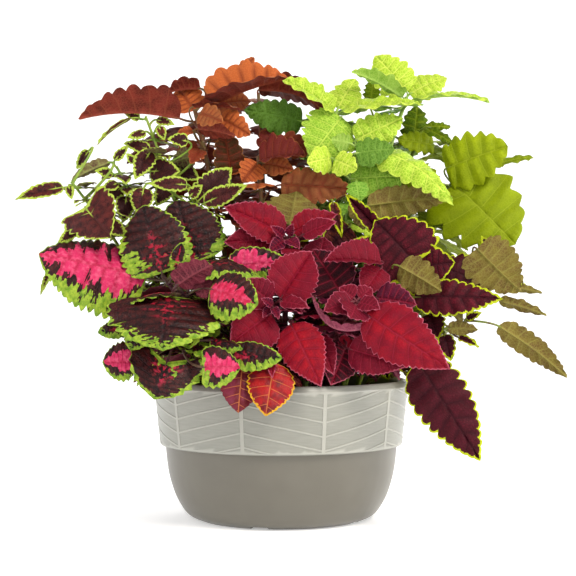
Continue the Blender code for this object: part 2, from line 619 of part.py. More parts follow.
def crosses_itself(verts, faces):
    """True if two triangles of a mesh cross that have no corner in common."""
    tree = BVHTree.FromPolygons(verts, faces)
    return any(a < b and not set(faces[a]) & set(faces[b]) for a, b in tree.overlap(tree))


def kept(verts, faces):
    """What is_clear needs to know about a mesh that is in place."""
    return BVHTree.FromPolygons(verts, faces), Vector(map(min, zip(*verts))), Vector(map(max, zip(*verts)))


def foot_moves():
    """Places to try for a stem's foot, in millimetres from the first choice, the nearest first."""
    grid = [Vector((8 * i, 8 * j, 0)) for i in range(-5, 6) for j in range(-5, 6)]
    return sorted(grid, key=lambda move: move.length)


def swings():
    """How a leaf may be bent clear: (tip, base, roll) moves, the smallest first."""
    found = []
    for tip in range(-60, 61, 6):
        for base in range(-18, 19, 6):
            for roll in (0, -12, 12):
                found.append((abs(tip) + 1.6 * abs(base) + abs(roll), tip, base, roll))
    return [move[1:] for move in sorted(found)]


def all_shoots():
    """The shoots of the front, and those of the far side."""
    draw = random.Random(SEED)
    return SHOOTS + [full_shoot(*row, draw) for row in FAR_SHOOTS]


MOVES = swings()


def planted_stems(shoots, walls):
    """Every shoot's stem, its foot moved until it is clear of the planter and of the stems before it."""
    stems = {}
    placed = list(walls)
    for shoot in shoots:
        for foot_move in foot_moves():
            points = stem_line(shoot, foot_move)
            verts, faces = stem_mesh(points, shoot.thick)
            if is_clear(verts, faces, placed):
                break
        stems[shoot.name] = points
        placed.append(kept(verts, faces))
    return stems


def planted_leaves(shoots, stems, walls):
    """Every shoot's leaves as (plan, blade, root), bent clear of all that is already in place."""
    draw = random.Random(SEED)
    strangers = {shoot.name: list(walls) for shoot in shoots}
    blades = {shoot.name: [] for shoot in shoots}
    stalks = {shoot.name: [] for shoot in shoots}
    roots = {shoot.name: [] for shoot in shoots}
    grown = {shoot.name: [] for shoot in shoots}
    for shoot in shoots:
        mesh = kept(*stem_mesh(stems[shoot.name], shoot.thick))
        for other in strangers:
            if other != shoot.name:
                strangers[other].append(mesh)

    def fits(name, verts, faces, blade_faces, strict, heart):
        if heart > HEART_SHAPED:
            if crosses_itself(verts, faces[:blade_faces]) or crosses_itself(verts, faces[blade_faces:]):
                return False
        elif crosses_itself(verts, faces):
            return False
        if not is_clear(verts, faces, strangers[name]):
            return False
        if not is_clear(verts, faces[:blade_faces], blades[name]):
            return False
        return not strict or is_clear(verts, faces[blade_faces:], blades[name])

    def grow(shoot, plan):
        name = shoot.name
        phase = draw.random()
        for strict in (True, False):
            for tip_move, base_move, roll_move in MOVES:
                base = spot(*plan.base[:2], plan.base[2] + base_move)
                tip = spot(*plan.tip[:2], plan.tip[2] + base_move + tip_move)
                blade = Blade(KINDS[shoot.kind], plan, base, tip, plan.roll + roll_move, phase)
                root = stem_root(stems[name], base, roots[name])
                verts, faces, blade_faces = leaf_mesh(blade, root)
                if fits(name, verts, faces, blade_faces, strict, blade.heart):
                    grown[name].append((plan, blade, root))
                    roots[name].append(root)
                    blades[name].append(kept(verts, faces[:blade_faces]))
                    mesh = kept(verts, faces)
                    for other in strangers:
                        if other != name:
                            strangers[other].append(mesh)
                    return
        print("no room for a leaf of", name, "from", plan.base, "to", plan.tip)

    for shoot in shoots:
        for plan in shoot.leaves:
            grow(shoot, plan)
    for shoot in shoots:
        for plan in rear_leaves(shoot, stems[shoot.name], draw):
            grow(shoot, plan)
    return grown


def turned_to(base, tip, aim):
    """The roll, in degrees, at which a leaf's upper face looks most nearly along aim."""
    _, _, facing = leaf_axes(base, tip, 0)
    _, _, sideways = leaf_axes(base, tip, 90)
    return math.degrees(math.atan2(aim.dot(sideways), aim.dot(facing)))


def outward_leaf(at, turn, lift, length, wide, tone):
    """A leaf that stands off a stem at a point, towards a compass turn, its upper face up and outward."""
    level = Vector((math.cos(turn), math.sin(turn), 0))
    way = level * math.cos(lift) + Vector((0, 0, math.sin(lift)))
    start = at + way * (STALK_SHARE * length)
    end = start + way * length - Vector((0, 0, LEAF_DROOP * length))
    roll = turned_to(start, end, level + Vector((0, 0, 1)))
    return leaf(seen(start), seen(end), wide, roll, -6, 0.10, tone=tone, far=True)


def rear_leaves(shoot, points, draw):
    """Leaves on the far side of a shoot, in a fan that droops more the lower it stands."""
    size = KINDS[shoot.kind].size
    plans = []
    for k in range(shoot.behind):
        at = points[-1].lerp(points[-3], 0.3 + 0.6 * k) / MM
        turn = math.radians(90 + (k - (shoot.behind - 1) / 2) * 62 + draw.uniform(-14, 14))
        lift = math.radians(8 - 18 * k + draw.uniform(-8, 8))
        length = size * draw.uniform(0.85, 1.1)
        plans.append(outward_leaf(at, turn, lift, length, 0.62 * length, draw.random()))
    return plans


def full_shoot(name, kind, top, pairs, draw):
    """A shoot with leaves all round, in crossed pairs that grow from the tip down."""
    size = KINDS[kind].size
    shoot = Shoot(name, kind, top, 3.0 if kind == "edged" else 4.2, 0, [])
    points = stem_line(shoot, Vector((0, 0, 0)))
    first = draw.uniform(0, math.pi)
    for k in range(pairs):
        share = k / max(1, pairs - 1)
        at = points[-1].lerp(points[2], 0.85 * share) / MM
        length = size * (0.45 + 0.55 * min(1, 1.6 * share)) * draw.uniform(0.9, 1.1)
        lift = math.radians(28 - 58 * share)
        for half in (0, math.pi):
            turn = first + k * math.pi / 2 + half + draw.uniform(-0.25, 0.25)
            shoot.leaves.append(outward_leaf(at, turn, lift, length, 0.68 * length, draw.random()))
    return shoot


def seen(point):
    """The (across, up, near) place of a point given in millimetres."""
    shrink = 1 + point.y / VIEW_DISTANCE
    return point.x / shrink, VIEW_HEIGHT + (point.z - VIEW_HEIGHT) / shrink, -point.y


def surface(name, colour, roughness):
    """A plain material."""
    made = bpy.data.materials.new(name)
    made.use_nodes = True
    shader = made.node_tree.nodes["Principled BSDF"]
    shader.inputs["Base Color"].default_value = (*colour, 1)
    shader.inputs["Roughness"].default_value = roughness
    shader.inputs["Metallic"].default_value = 0
    made.diffuse_color = (*colour, 1)
    return made


def solid(name, verts, faces, material):
    """A mesh object in the scene."""
    mesh = bpy.data.meshes.new(name)
    mesh.from_pydata(verts, [], faces)
    mesh.materials.append(material)
    mesh.validate()
    made = bpy.data.objects.new(name, mesh)
    bpy.context.scene.collection.objects.link(made)
    return made


def ring_point(radius, height, turn):
    """A point on a circle round the planter's axis, with its turn in degrees from +X."""
    angle = math.radians(turn)
    return Vector((radius * math.cos(angle), radius * math.sin(angle), height)) * MM


def turned(outline, segments):
    """A closed solid turned about the axis from its lower pole to its upper one.

    The outline's entries are (radius, height), or functions of the turn that give them.
    """
    verts = [Vector((0, 0, outline[0][1])) * MM]
    for entry in outline[1:-1]:
        for k in range(segments):
            turn = PANEL_START + 360 * k / segments
            radius, height = entry(turn) if callable(entry) else entry
            verts.append(ring_point(radius, height, turn))
    verts.append(Vector((0, 0, outline[-1][1])) * MM)
    end = len(verts) - 1
    last = end - segments
    faces = []
    for k in range(segments):
        m = (k + 1) % segments
        faces.append((0, 1 + m, 1 + k))
        faces.append((end, last + k, last + m))
        for ring in range(len(outline) - 3):
            low = 1 + ring * segments
            high = low + segments
            faces.append((low + k, low + m, high + m, high + k))
    return verts, faces


def slat_rise(turn):
    """How far the slats have risen at a turn: 1 to 0 over one panel, and back over the next."""
    share = (turn - PANEL_START) / (720 / PANELS) % 1
    return abs(2 * share - 1)


def band_line(middle, relief):
    """One line of the band's herringbone, cut off at the band's foot and top."""
    def place(turn):
        height = middle + RIDGE_RISE * slat_rise(turn)
        inside = BAND_FOOT_HEIGHT + 1 < height < BAND_TOP_HEIGHT
        height = min(max(height, BAND_FOOT_HEIGHT + 1), BAND_TOP_HEIGHT)
        share = (height - BAND_FOOT_HEIGHT) / (BAND_TOP_HEIGHT - BAND_FOOT_HEIGHT)
        radius = BAND_FOOT_RADIUS + (BAND_TOP_RADIUS - BAND_FOOT_RADIUS) * share
        return radius + (relief if inside else 0), height
    return place


def inner_outline():
    """The planter's inside from its rim down to its floor."""
    outline = [(BAND_FOOT_RADIUS - WALL, BAND_FOOT_HEIGHT + 3)]
    for radius, height in reversed(BODY_OUTLINE[2:]):
        outline.append((radius - WALL, height))
    return outline + [(104, FLOOR_THICKNESS)]


def planter_mesh():
    """The planter as one turned solid, with the herringbone ridges standing out of its band."""
    outline = [(0, 0), *BODY_OUTLINE, (BAND_FOOT_RADIUS - 1, BAND_FOOT_HEIGHT)]
    for k in range(RIDGES):
        middle = BAND_FOOT_HEIGHT + RIDGE_START + k * RIDGE_SPACING
        outline.append(band_line(middle - RIDGE_WIDTH, 0))
        outline.append(band_line(middle, RIDGE_RELIEF))
    outline += [*RIM_OUTLINE, *inner_outline(), (0, FLOOR_THICKNESS)]
    return turned(outline, ROUND_SEGMENTS)


def soil_mesh():
    """The soil, which fills the planter nearly to its rim, with a lumpy top."""
    lumps = random.Random(SEED)
    inset, lift = SOIL_GAP
    outline = [(0, FLOOR_THICKNESS + lift)]
    outline += [(radius - inset, height + lift) for radius, height in reversed(inner_outline())]
    (low_radius, low), (high_radius, high) = inner_outline()[0], RIM_OUTLINE[-1]
    share = (SOIL_TOP - low) / (high - low)
    outline.append((low_radius + (high_radius - low_radius) * share - inset, SOIL_TOP))
    for radius in SOIL_RINGS:
        outline.append(lambda turn, radius=radius: (radius, SOIL_TOP - SOIL_LUMPS * lumps.random()))
    outline.append((0, SOIL_TOP))
    return turned(outline, ROUND_SEGMENTS // 2)


def box_mesh(low, high, turn):
    """A box between two corners, turned about the planter's axis."""
    angle = math.radians(turn)
    verts = []
    for z in (low[2], high[2]):
        for x, y in ((low[0], low[1]), (high[0], low[1]), (high[0], high[1]), (low[0], high[1])):
            across = x * math.cos(angle) - y * math.sin(angle)
            away = x * math.sin(angle) + y * math.cos(angle)
            verts.append(Vector((across, away, z)) * MM)
    faces = [(0, 3, 2, 1), (4, 5, 6, 7)]
    faces += [(k, (k + 1) % 4, (k + 1) % 4 + 4, k + 4) for k in range(4)]
    return verts, faces


def post_mesh(centre, radius, low, high, sides):
    """An upright post with a number of sides, its first corner towards +X."""
    verts = []
    for z in (low, high):
        for k in range(sides):
            angle = 2 * math.pi * k / sides
            way = Vector((math.cos(angle), math.sin(angle), 0))
            verts.append(Vector((centre.x, centre.y, z)) + way * radius)
    faces = [tuple(range(sides))[::-1], tuple(range(sides, 2 * sides))]
    faces += [(k, (k + 1) % sides, (k + 1) % sides + sides, k + sides) for k in range(sides)]
    return verts, faces


def combined(target, meshes, operation, solver="EXACT", crossing=False):
    """Join meshes to a solid, or cut them from it, with one Boolean that is then applied."""
    tools = bpy.data.collections.new(target.name + "_tools")
    bpy.context.scene.collection.children.link(tools)
    for k, (verts, faces) in enumerate(meshes):
        mesh = bpy.data.meshes.new(f"{target.name}_tool_{k}")
        mesh.from_pydata(verts, [], faces)
        tool = bpy.data.objects.new(mesh.name, mesh)
        tool.hide_render = True
        tool.display_type = "WIRE"
        tools.objects.link(tool)
    boolean = target.modifiers.new("combine", "BOOLEAN")
    boolean.operation = operation
    boolean.operand_type = "COLLECTION"
    boolean.collection = tools
    boolean.solver = solver
    boolean.use_self = crossing
    bpy.context.view_layer.update()
    applied = bpy.data.meshes.new_from_object(target.evaluated_get(bpy.context.evaluated_depsgraph_get()))
    target.modifiers.clear()
    target.data = applied
    for tool in list(tools.objects):
        bpy.data.objects.remove(tool)
    bpy.data.collections.remove(tools)


def neat(target):
    """Weld points that lie together, merge faces that lie in one plane, and split all into triangles."""
    bm = bmesh.new()
    bm.from_mesh(target.data)
    bmesh.ops.remove_doubles(bm, verts=bm.verts, dist=WELD * MM)
    bmesh.ops.dissolve_degenerate(bm, edges=bm.edges, dist=WELD * MM)
    bmesh.ops.dissolve_limit(bm, angle_limit=math.radians(FLAT_ANGLE), verts=bm.verts, edges=bm.edges)
    bmesh.ops.triangulate(bm, faces=bm.faces)
    bm.to_mesh(target.data)
    bm.free()


def make_planter():
    """The planter with its drain channels and drain holes."""
    planter = solid("planter", *planter_mesh(), surface("planter_glaze", (0.42, 0.41, 0.38), 0.55))
    neat(planter)
    cutters = []
    for k in range(CHANNELS):
        turn = CHANNEL_START + 360 * k / CHANNELS
        low = (CHANNEL_REACH[0], -CHANNEL_WIDTH / 2, -1)
        high = (CHANNEL_REACH[1], CHANNEL_WIDTH / 2, CHANNEL_HEIGHT)
        cutters.append(box_mesh(low, high, turn))
        centre = ring_point(DRAIN_PLACE, 0, turn)
        cutters.append(post_mesh(centre, DRAIN_RADIUS * MM, MM, (FLOOR_THICKNESS + 1) * MM, 8))
    combined(planter, cutters, "DIFFERENCE")
    neat(planter)


def make_soil(shoots, stems):
    """The soil with a plain hole for each stem."""
    soil = solid("soil", *soil_mesh(), surface("potting_soil", (0.03, 0.02, 0.012), 0.95))
    neat(soil)
    holes = []
    for shoot in shoots:
        foot = stems[shoot.name][0]
        radius = (shoot.thick * STEM_TAPER[0] + STEM_FIT) * MM
        low = foot.z - STEM_FIT * MM
        holes.append(post_mesh(foot, radius, low, (SOIL_TOP + 5) * MM, 4))
    combined(soil, holes, "DIFFERENCE")
    neat(soil)


def is_closed(made):
    """True if each edge of an object's mesh has exactly two faces."""
    bm = bmesh.new()
    bm.from_mesh(made.data)
    closed = all(len(edge.link_faces) == 2 for edge in bm.edges)
    bm.free()
    return closed


def make_shoot(shoot, stem, grown, material):
    """One leafy shoot as one solid: its stem with every leaf grown out of it."""
    leaves = [part for _, blade, root in grown for part in leaf_solids(blade, root)]
    for solver, crossing in (("EXACT", False), ("MANIFOLD", False), ("EXACT", True)):
        made = solid(shoot.name, *stem_mesh(stem, shoot.thick), material)
        combined(made, leaves, "UNION", solver, crossing)
        neat(made)
        if is_closed(made):
            return
        print(shoot.name, "isn't closed after", solver)
        if not crossing:
            bpy.data.objects.remove(made)


def main():
    """Build the whole planting."""
    for old in list(bpy.data.objects):
        bpy.data.objects.remove(old, do_unlink=True)
    walls = [kept(*planter_mesh()), kept(*soil_mesh())]
    shoots = all_shoots()
    stems = planted_stems(shoots, walls[:1])
    grown = planted_leaves(shoots, stems, walls)
    make_planter()
    make_soil(shoots, stems)
    leaves = {name: surface(f"{name}_leaf", kind.colour, 0.5) for name, kind in KINDS.items()}
    for shoot in shoots:
        make_shoot(shoot, stems[shoot.name], grown[shoot.name], leaves[shoot.kind])


if __name__ == "__main__":
    main()
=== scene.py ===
# %% [markdown]
# This is a pot of coleus: seven kinds of the same leafy plant, each with its own colours, crowded
# together in one round two-tone planter about 640 mm wide and 560 mm tall. The solid model already
# says how large each shoot is and where it stands. This script dresses it: every leaf gets its full
# set of teeth, its veins and quilting, and its painted pattern. It all starts from the frame, whose
# box is kept, and the dressed shoots are held inside that box.

# %% Load the frame
import json
import math
import random
from collections import namedtuple

import bmesh
import bpy
import numpy as np
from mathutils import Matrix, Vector, noise
from mathutils.bvhtree import BVHTree

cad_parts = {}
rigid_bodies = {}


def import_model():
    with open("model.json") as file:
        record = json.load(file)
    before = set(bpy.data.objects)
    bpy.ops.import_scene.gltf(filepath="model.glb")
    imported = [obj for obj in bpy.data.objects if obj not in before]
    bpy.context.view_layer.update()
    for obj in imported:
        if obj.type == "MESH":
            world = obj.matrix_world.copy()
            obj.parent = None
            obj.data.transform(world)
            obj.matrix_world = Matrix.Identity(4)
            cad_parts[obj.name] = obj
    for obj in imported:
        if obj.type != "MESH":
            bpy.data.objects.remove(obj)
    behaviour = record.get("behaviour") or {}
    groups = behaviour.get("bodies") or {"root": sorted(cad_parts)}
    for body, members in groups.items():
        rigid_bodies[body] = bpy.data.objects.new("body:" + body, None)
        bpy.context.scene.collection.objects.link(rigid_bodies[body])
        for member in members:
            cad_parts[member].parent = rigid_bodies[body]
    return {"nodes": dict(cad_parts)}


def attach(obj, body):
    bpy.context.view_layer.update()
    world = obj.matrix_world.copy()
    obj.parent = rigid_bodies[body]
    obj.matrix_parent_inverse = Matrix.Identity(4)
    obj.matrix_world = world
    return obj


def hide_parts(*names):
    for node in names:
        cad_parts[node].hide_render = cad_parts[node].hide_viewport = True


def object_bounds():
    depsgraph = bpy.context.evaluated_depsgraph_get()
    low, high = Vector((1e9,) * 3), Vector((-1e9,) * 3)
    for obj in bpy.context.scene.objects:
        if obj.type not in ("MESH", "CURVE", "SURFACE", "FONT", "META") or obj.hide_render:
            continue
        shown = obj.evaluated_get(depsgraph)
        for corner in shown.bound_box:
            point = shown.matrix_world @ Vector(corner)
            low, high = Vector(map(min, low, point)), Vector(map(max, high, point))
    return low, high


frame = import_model()
cad_box = [list(corner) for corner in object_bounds()]
MM = 0.001
print("frame with", len(frame["nodes"]), "nodes, box", cad_box)

# %% [markdown]
# The camera looks level from the front, a little under two metres away. A long lens at that distance
# keeps the planter's rim nearly flat. The lens is worked out from how many millimetres one of the
# 576 pixels across the picture covers at the planter.

# %% Camera
VIEW_DISTANCE = 1800.0
VIEW_HEIGHT = 274.0
VIEW_ACROSS = 8.0
PIXEL = 1.2
PICTURE = 576
SENSOR = 36.0

camera = bpy.data.objects.new("camera", bpy.data.cameras.new("camera"))
bpy.context.scene.collection.objects.link(camera)
camera.location = Vector((VIEW_ACROSS, -VIEW_DISTANCE, VIEW_HEIGHT)) * MM
camera.rotation_euler = (math.radians(90), 0, 0)
camera.data.sensor_width = SENSOR
camera.data.lens = SENSOR * VIEW_DISTANCE / (PICTURE * PIXEL)
camera.data.dof.use_dof = False
bpy.context.scene.camera = camera
print("lens", round(camera.data.lens, 2), "mm")

# %% [markdown]
# The studio is a wide pale bowl. Its floor is flat, and it curves up far away on every side, so no
# horizon shows behind the plants. A white sky gives most of the light. The largest of four soft
# lamps stands in front, above and to the right, and makes the planter's pale right cheek.

# %% Studio
FLOOR_RADIUS = 3.4
FLOOR_RINGS = 6
BOWL_CURVE = 1.8
BOWL_RINGS = 12
BOWL_WALL = 1.2
BOWL_SIDES = 96
LAMP_AIM = Vector((0, 0, 0.25))
SKY_STRENGTH = 0.58
PAPER = {
    "Base Color": (0.93, 0.93, 0.93, 1), "Roughness": 0.9, "Specular IOR Level": 0.0,
    "Emission Color": (1, 1, 1, 1), "Emission Strength": 0.34,
}

def colour(code):
    """A colour written as six hex digits, as the linear values that shaders use."""
    parts = [int(code[k:k + 2], 16) / 255 for k in (0, 2, 4)]
    return (*[((v + 0.055) / 1.055) ** 2.4 if v > 0.04 else v / 12.92 for v in parts], 1.0)

def link_mesh(name, verts, faces):
    """A smooth mesh object in the scene."""
    mesh = bpy.data.meshes.new(name)
    mesh.from_pydata(verts, [], faces)
    mesh.shade_smooth()
    made = bpy.data.objects.new(name, mesh)
    bpy.context.scene.collection.objects.link(made)
    return made

def angles_round(count):
    """Evenly spaced angles of one full turn, in radians."""
    return [2 * math.pi * k / count for k in range(count)]

def turned_faces(rings, around, outward=True, closed=True):
    """Faces of a turned surface whose points are a pole, rings of points, and the other pole."""
    faces = []
    last = 1 + (rings - 1) * around
    for k in range(around):
        m = (k + 1) % around
        one, two = (m, k) if outward else (k, m)
        faces.append((0, 1 + one, 1 + two))
        if closed:
            faces.append((last + around, last + two, last + one))
        for low in range(1, last, around):
            a, b, c, d = low + k, low + m, low + around + m, low + around + k
            faces.append((a, b, c, d) if outward else (a, d, c, b))
    return faces

def make_bowl():
    rings = [(FLOOR_RADIUS * k / FLOOR_RINGS, 0.0) for k in range(1, FLOOR_RINGS + 1)]
    for k in range(1, BOWL_RINGS + 1):
        angle = math.radians(90) * k / BOWL_RINGS
        height = BOWL_CURVE * (1 - math.cos(angle))
        rings.append((FLOOR_RADIUS + BOWL_CURVE * math.sin(angle), height))
    rings.append((FLOOR_RADIUS + BOWL_CURVE, BOWL_CURVE + BOWL_WALL))
    verts = [(0, 0, 0)]
    for radius, height in rings:
        for angle in angles_round(BOWL_SIDES):
            verts.append((radius * math.cos(angle), radius * math.sin(angle), height))
    return link_mesh("floor", verts, turned_faces(len(rings), BOWL_SIDES, False, False))

floor = make_bowl()
paper = bpy.data.materials.new("studio_paper")
paper.use_nodes = True
for socket, value in PAPER.items():
    paper.node_tree.nodes["Principled BSDF"].inputs[socket].default_value = value
floor.data.materials.append(paper)

world = bpy.data.worlds.new("sky")
world.use_nodes = True
sky = world.node_tree.nodes["Background"].inputs
sky["Color"].default_value = (1, 1, 1, 1)
sky["Strength"].default_value = SKY_STRENGTH
bpy.context.scene.world = world
bpy.context.scene.view_settings.view_transform = "Standard"

def lamp(name, place, size, watts, tone="FFFFFF"):
    """A square soft lamp that looks at the middle of the planting."""
    light = bpy.data.lights.new(name, "AREA")
    light.size = size
    light.energy = watts
    light.color = colour(tone)[:3]
    made = bpy.data.objects.new(name, light)
    made.location = place
    made.rotation_euler = (LAMP_AIM - made.location).to_track_quat("-Z", "Y").to_euler()
    bpy.context.scene.collection.objects.link(made)

lamp("key", (1.3, -1.7, 2.3), 0.9, 60, "FFF8EE")
lamp("right", (2.4, -0.3, 0.6), 0.8, 20)
lamp("left", (-2.2, -0.6, 0.9), 1.0, 10)
lamp("back", (0.6, 2.2, 1.6), 1.4, 26)
print("studio floor", FLOOR_RADIUS * 2, "m across")

# %% [markdown]
# Seven kinds of coleus, and one small red one between them, differ in how long their leaves are,
# where they are widest, how deep and how many their teeth are, and how they fold and wave. One row
# of measures for each kind is enough for one function to grow them all. The first table describes
# the plain leaf that the solid model has, and the second adds what only shows close to.

# %% Kinds of coleus
Kind = namedtuple("Kind", "size shoulder taper heart slant bite lean cuts wave waves fold arch")

KINDS = {
    "rust": Kind(80, 0.55, 0.85, 0.05, 0.50, 0.16, 0.50, 5, 0.05, 2.5, 8, 0.10),
    "lime": Kind(74, 0.50, 0.75, 0.08, 0.50, 0.17, 0.50, 5, 0.07, 3.0, -6, 0.10),
    "chartreuse": Kind(78, 0.42, 0.58, 0.12, 0.45, 0.30, 0.55, 4, 0.05, 2.0, -4, 0.06),
    "edged": Kind(34, 0.60, 1.00, 0.05, 0.50, 0.12, 0.55, 4, 0.07, 2.0, 6, 0.10),
    "mosaic": Kind(92, 0.50, 0.70, 0.10, 0.50, 0.10, 0.55, 5, 0.05, 3.0, -4, 0.12),
    "crimson": Kind(74, 0.60, 1.05, 0.03, 0.55, 0.09, 0.65, 5, 0.05, 2.0, 8, 0.08),
    "ember": Kind(60, 0.60, 0.90, 0.03, 0.50, 0.10, 0.60, 5, 0.04, 2.0, 4, 0.08),
    "wine": Kind(78, 0.55, 0.90, 0.05, 0.50, 0.15, 0.55, 5, 0.08, 3.0, 6, 0.10),
}

Fine = namedtuple("Fine", "teeth lean curve bite veins pucker frill")

FINE = {
    "rust": Fine(8, 0.50, 2.4, 0.20, 7, 1.1, 0.9),
    "lime": Fine(8, 0.52, 2.3, 0.20, 6, 1.4, 1.0),
    "chartreuse": Fine(6, 0.62, 1.35, 0.24, 5, 1.4, 1.2),
    "edged": Fine(8, 0.50, 1.8, 0.13, 5, 0.4, 0.5),
    "mosaic": Fine(15, 0.55, 1.7, 0.10, 8, 1.3, 1.0),
    "crimson": Fine(15, 0.70, 1.2, 0.10, 7, 1.0, 1.0),
    "ember": Fine(11, 0.60, 1.4, 0.08, 6, 0.5, 0.4),
    "wine": Fine(10, 0.55, 2.2, 0.15, 7, 1.1, 1.3),
}
print(len(KINDS), "kinds of leaf")

# %% [markdown]
# Every leaf on the front of the planting is placed one by one, as an arranger would place it: where
# its blade starts, where its tip ends, how wide it is and how it is turned. The places are in
# millimetres, across and up as they look from the front, and near is how far a point stands out
# towards the viewer. Each shoot is a stem with the leaves that grow on it.

# %% Leaves and shoots
STEM_SPREAD = 0.42
STEM_REACH = 112.0
STEM_TAPER = (0.82, 0.5)
STEM_STEPS = 3
ROOT_SPACING = 2.6
STALK_STRAIGHT = 38.0
STALK_RISE = 0.25
STALK_KNEE = 0.45
STALK_STEPS = (0.05, 0.55, 1.0)
STALK_TAPER = 0.3
HEART_SHAPED = 0.2
STALK_INSET = 0.14
STALK_TIP = 0.3
STALK_RADIUS = 0.8
STALK_GROWTH = 0.007
SMALL_LEAF = 55.0
LARGE_LEAF = 72.0
BLADE_THICKNESS = 1.6
CLEARANCE = 0.9
STALK_SHARE = 0.22
LEAF_DROOP = 0.12
LEAF_FOLD = -6
LEAF_BOW = 0.10
REAR_WIDTH = 0.62
FAR_WIDTH = 0.68
STEM_KNEE = (0.45, 0.62)
LOBE_PLACE = 0.18
RIPPLE_SHIFT = 0.37
SEED = 7

# Roll is 0 where a leaf's upper face looks to the front, 90 where it looks up and 180 where the
# underside looks to the front. Fold lifts the margins, in degrees, and bow arches the midrib, as a
# share of the leaf's length. Heart is how far the lobes at the base reach back, and tone shifts the
# leaf's colour within its plant's range. A far leaf, behind the stems, has fewer teeth.
Leaf = namedtuple("Leaf", "base tip wide roll fold bow heart tone far",
                  defaults=(0, None, 0.06, None, 0.5, False))
Shoot = namedtuple("Shoot", "name kind top thick behind leaves")
SHOOTS = []

def plant(name, top, thick, behind, leaves):
    """Add a shoot, whose name starts with its kind. A rule grows the leaves behind it."""
    SHOOTS.append(Shoot(name, name.split("_")[0], top, thick, behind, leaves))

def spot(across, up, near):
    """The point that looks to be at (across, up) from the front, near millimetres out."""
    shrink = 1 - near / VIEW_DISTANCE
    height = VIEW_HEIGHT + (up - VIEW_HEIGHT) * shrink
    return Vector((across * shrink, -near, height)) * MM

def leaf_axes(base, tip, roll):
    """The leaf's own axes: along its chord, across it to the left, and out of its upper face."""
    along = (tip - base).normalized()
    to_front = Vector((0, -1, 0))
    facing = (to_front - along * along.dot(to_front)).normalized()
    sideways = along.cross(facing)
    if sideways.z < -0.15 or (abs(sideways.z) <= 0.15 and sideways.x < 0):
        sideways = -sideways
    turn = math.radians(roll)
    out = facing * math.cos(turn) + sideways * math.sin(turn)
    return along, out.cross(along), out

print("a leaf's place, such as", spot(100, 300, 50), "in metres")

# %% [markdown]
# At the lower left stand the largest leaves of all: quilted, nearly black, edged with lime, and
# some with a hot pink heart. Two small ember leaves hang over the planter below them.

# %% Mosaic shoots
plant("mosaic_upper", (-143, 290, 92), 4.5, 1, [
    Leaf((-143, 293, 100), (-166, 373, 72), 86, 0, -5, tone=0.15),
    Leaf((-106, 306, 72), (-124, 380, 46), 90, 0, -4, tone=0.15),
    Leaf((-163, 287, 105), (-291, 315, 118), 112, 28, -26, 0.04, tone=1),
    Leaf((-126, 298, 112), (-119, 328, 112), 20, 0, 20),
])
plant("mosaic_front", (-126, 278, 138), 4.5, 0, [
    Leaf((-135, 263, 150), (-142, 198, 212), 140, 0, -8, 0.10, 0.40, tone=0.1),
    Leaf((-118, 292, 124), (-20, 281, 138), 50, 50, -14, 0.20, tone=0),
    Leaf((-62, 300, 100), (10, 304, 106), 46, 12, -8, tone=1),
    Leaf((-84, 273, 150), (-27, 254, 166), 60, 10, -16, tone=0.75),
    Leaf((-124, 278, 148), (-82, 302, 142), 38, 145, 18, tone=0.9),
    Leaf((-100, 290, 132), (-89, 262, 148), 26, 150, 10, tone=0.9),
])
plant("ember_front", (-20, 214, 146), 3.0, 0, [
    Leaf((-8, 184, 164), (-18, 120, 188), 54, 0, -6, tone=1),
    Leaf((-46, 182, 160), (-51, 124, 176), 48, 0, -8, tone=0),
])
plant("mosaic_low", (-126, 216, 146), 4.0, 0, [
    Leaf((-138, 181, 178), (-152, 140, 188), 86, 0, -4, 0.05, 0.80, tone=0.35),
    Leaf((-176, 186, 162), (-214, 185, 164), 46, tone=1),
    Leaf((-184, 226, 146), (-220, 221, 150), 22, 10, tone=0.1),
    Leaf((-163, 237, 160), (-180, 199, 172), 38, 8, tone=0),
    Leaf((-92, 179, 184), (-48, 179, 190), 48, heart=0.25, tone=1),
    Leaf((-84, 212, 172), (-45, 201, 184), 24, 40, -30, tone=0),
    Leaf((-60, 193, 176), (2, 190, 186), 34, 8, tone=0.3),
])
print("shoots so far:", len(SHOOTS))

# %% [markdown]
# Crimson shoots fill the middle. Each ends in a rosette of small plum leaves, and one long leaf
# points down to the right.

# %% Crimson shoots
plant("crimson_top", (8, 334, 60), 4.5, 0, [
    Leaf((4, 338, 64), (-69, 372, 74), 50, 22, 14, tone=0.7),
    Leaf((-6, 331, 70), (-69, 329, 84), 46, 10),
    Leaf((14, 341, 60), (68, 363, 54), 38, 28, 20, tone=0.8),
    Leaf((26, 338, 66), (67, 354, 76), 28, 30, 12),
    Leaf((3, 336, 74), (-13, 349, 80), 14, 20, 25, tone=0.2),
    Leaf((8, 332, 78), (23, 321, 92), 18, 30, 20, tone=0.2),
    Leaf((4, 331, 76), (-15, 317, 92), 20, 20, 20, tone=0.2),
    Leaf((9, 337, 74), (15, 352, 80), 13, 10, 25, tone=0.2),
])
plant("crimson_left", (-10, 254, 142), 4.5, 0, [
    Leaf((0, 262, 146), (37, 318, 126), 64, 4, 22, tone=0.6),
    Leaf((0, 258, 156), (35, 250, 168), 22, 40, 10),
    Leaf((-12, 258, 150), (-47, 284, 148), 38, 12, tone=0.4),
    Leaf((-12, 243, 150), (-61, 207, 170), 62, 5, tone=0.6),
    Leaf((-10, 252, 158), (-24, 262, 164), 13, 30, 25, tone=0.1),
    Leaf((-9, 250, 160), (-2, 236, 168), 12, 20, 25, tone=0.1),
    Leaf((-12, 250, 160), (-22, 238, 168), 12, 20, 25, tone=0.1),
])
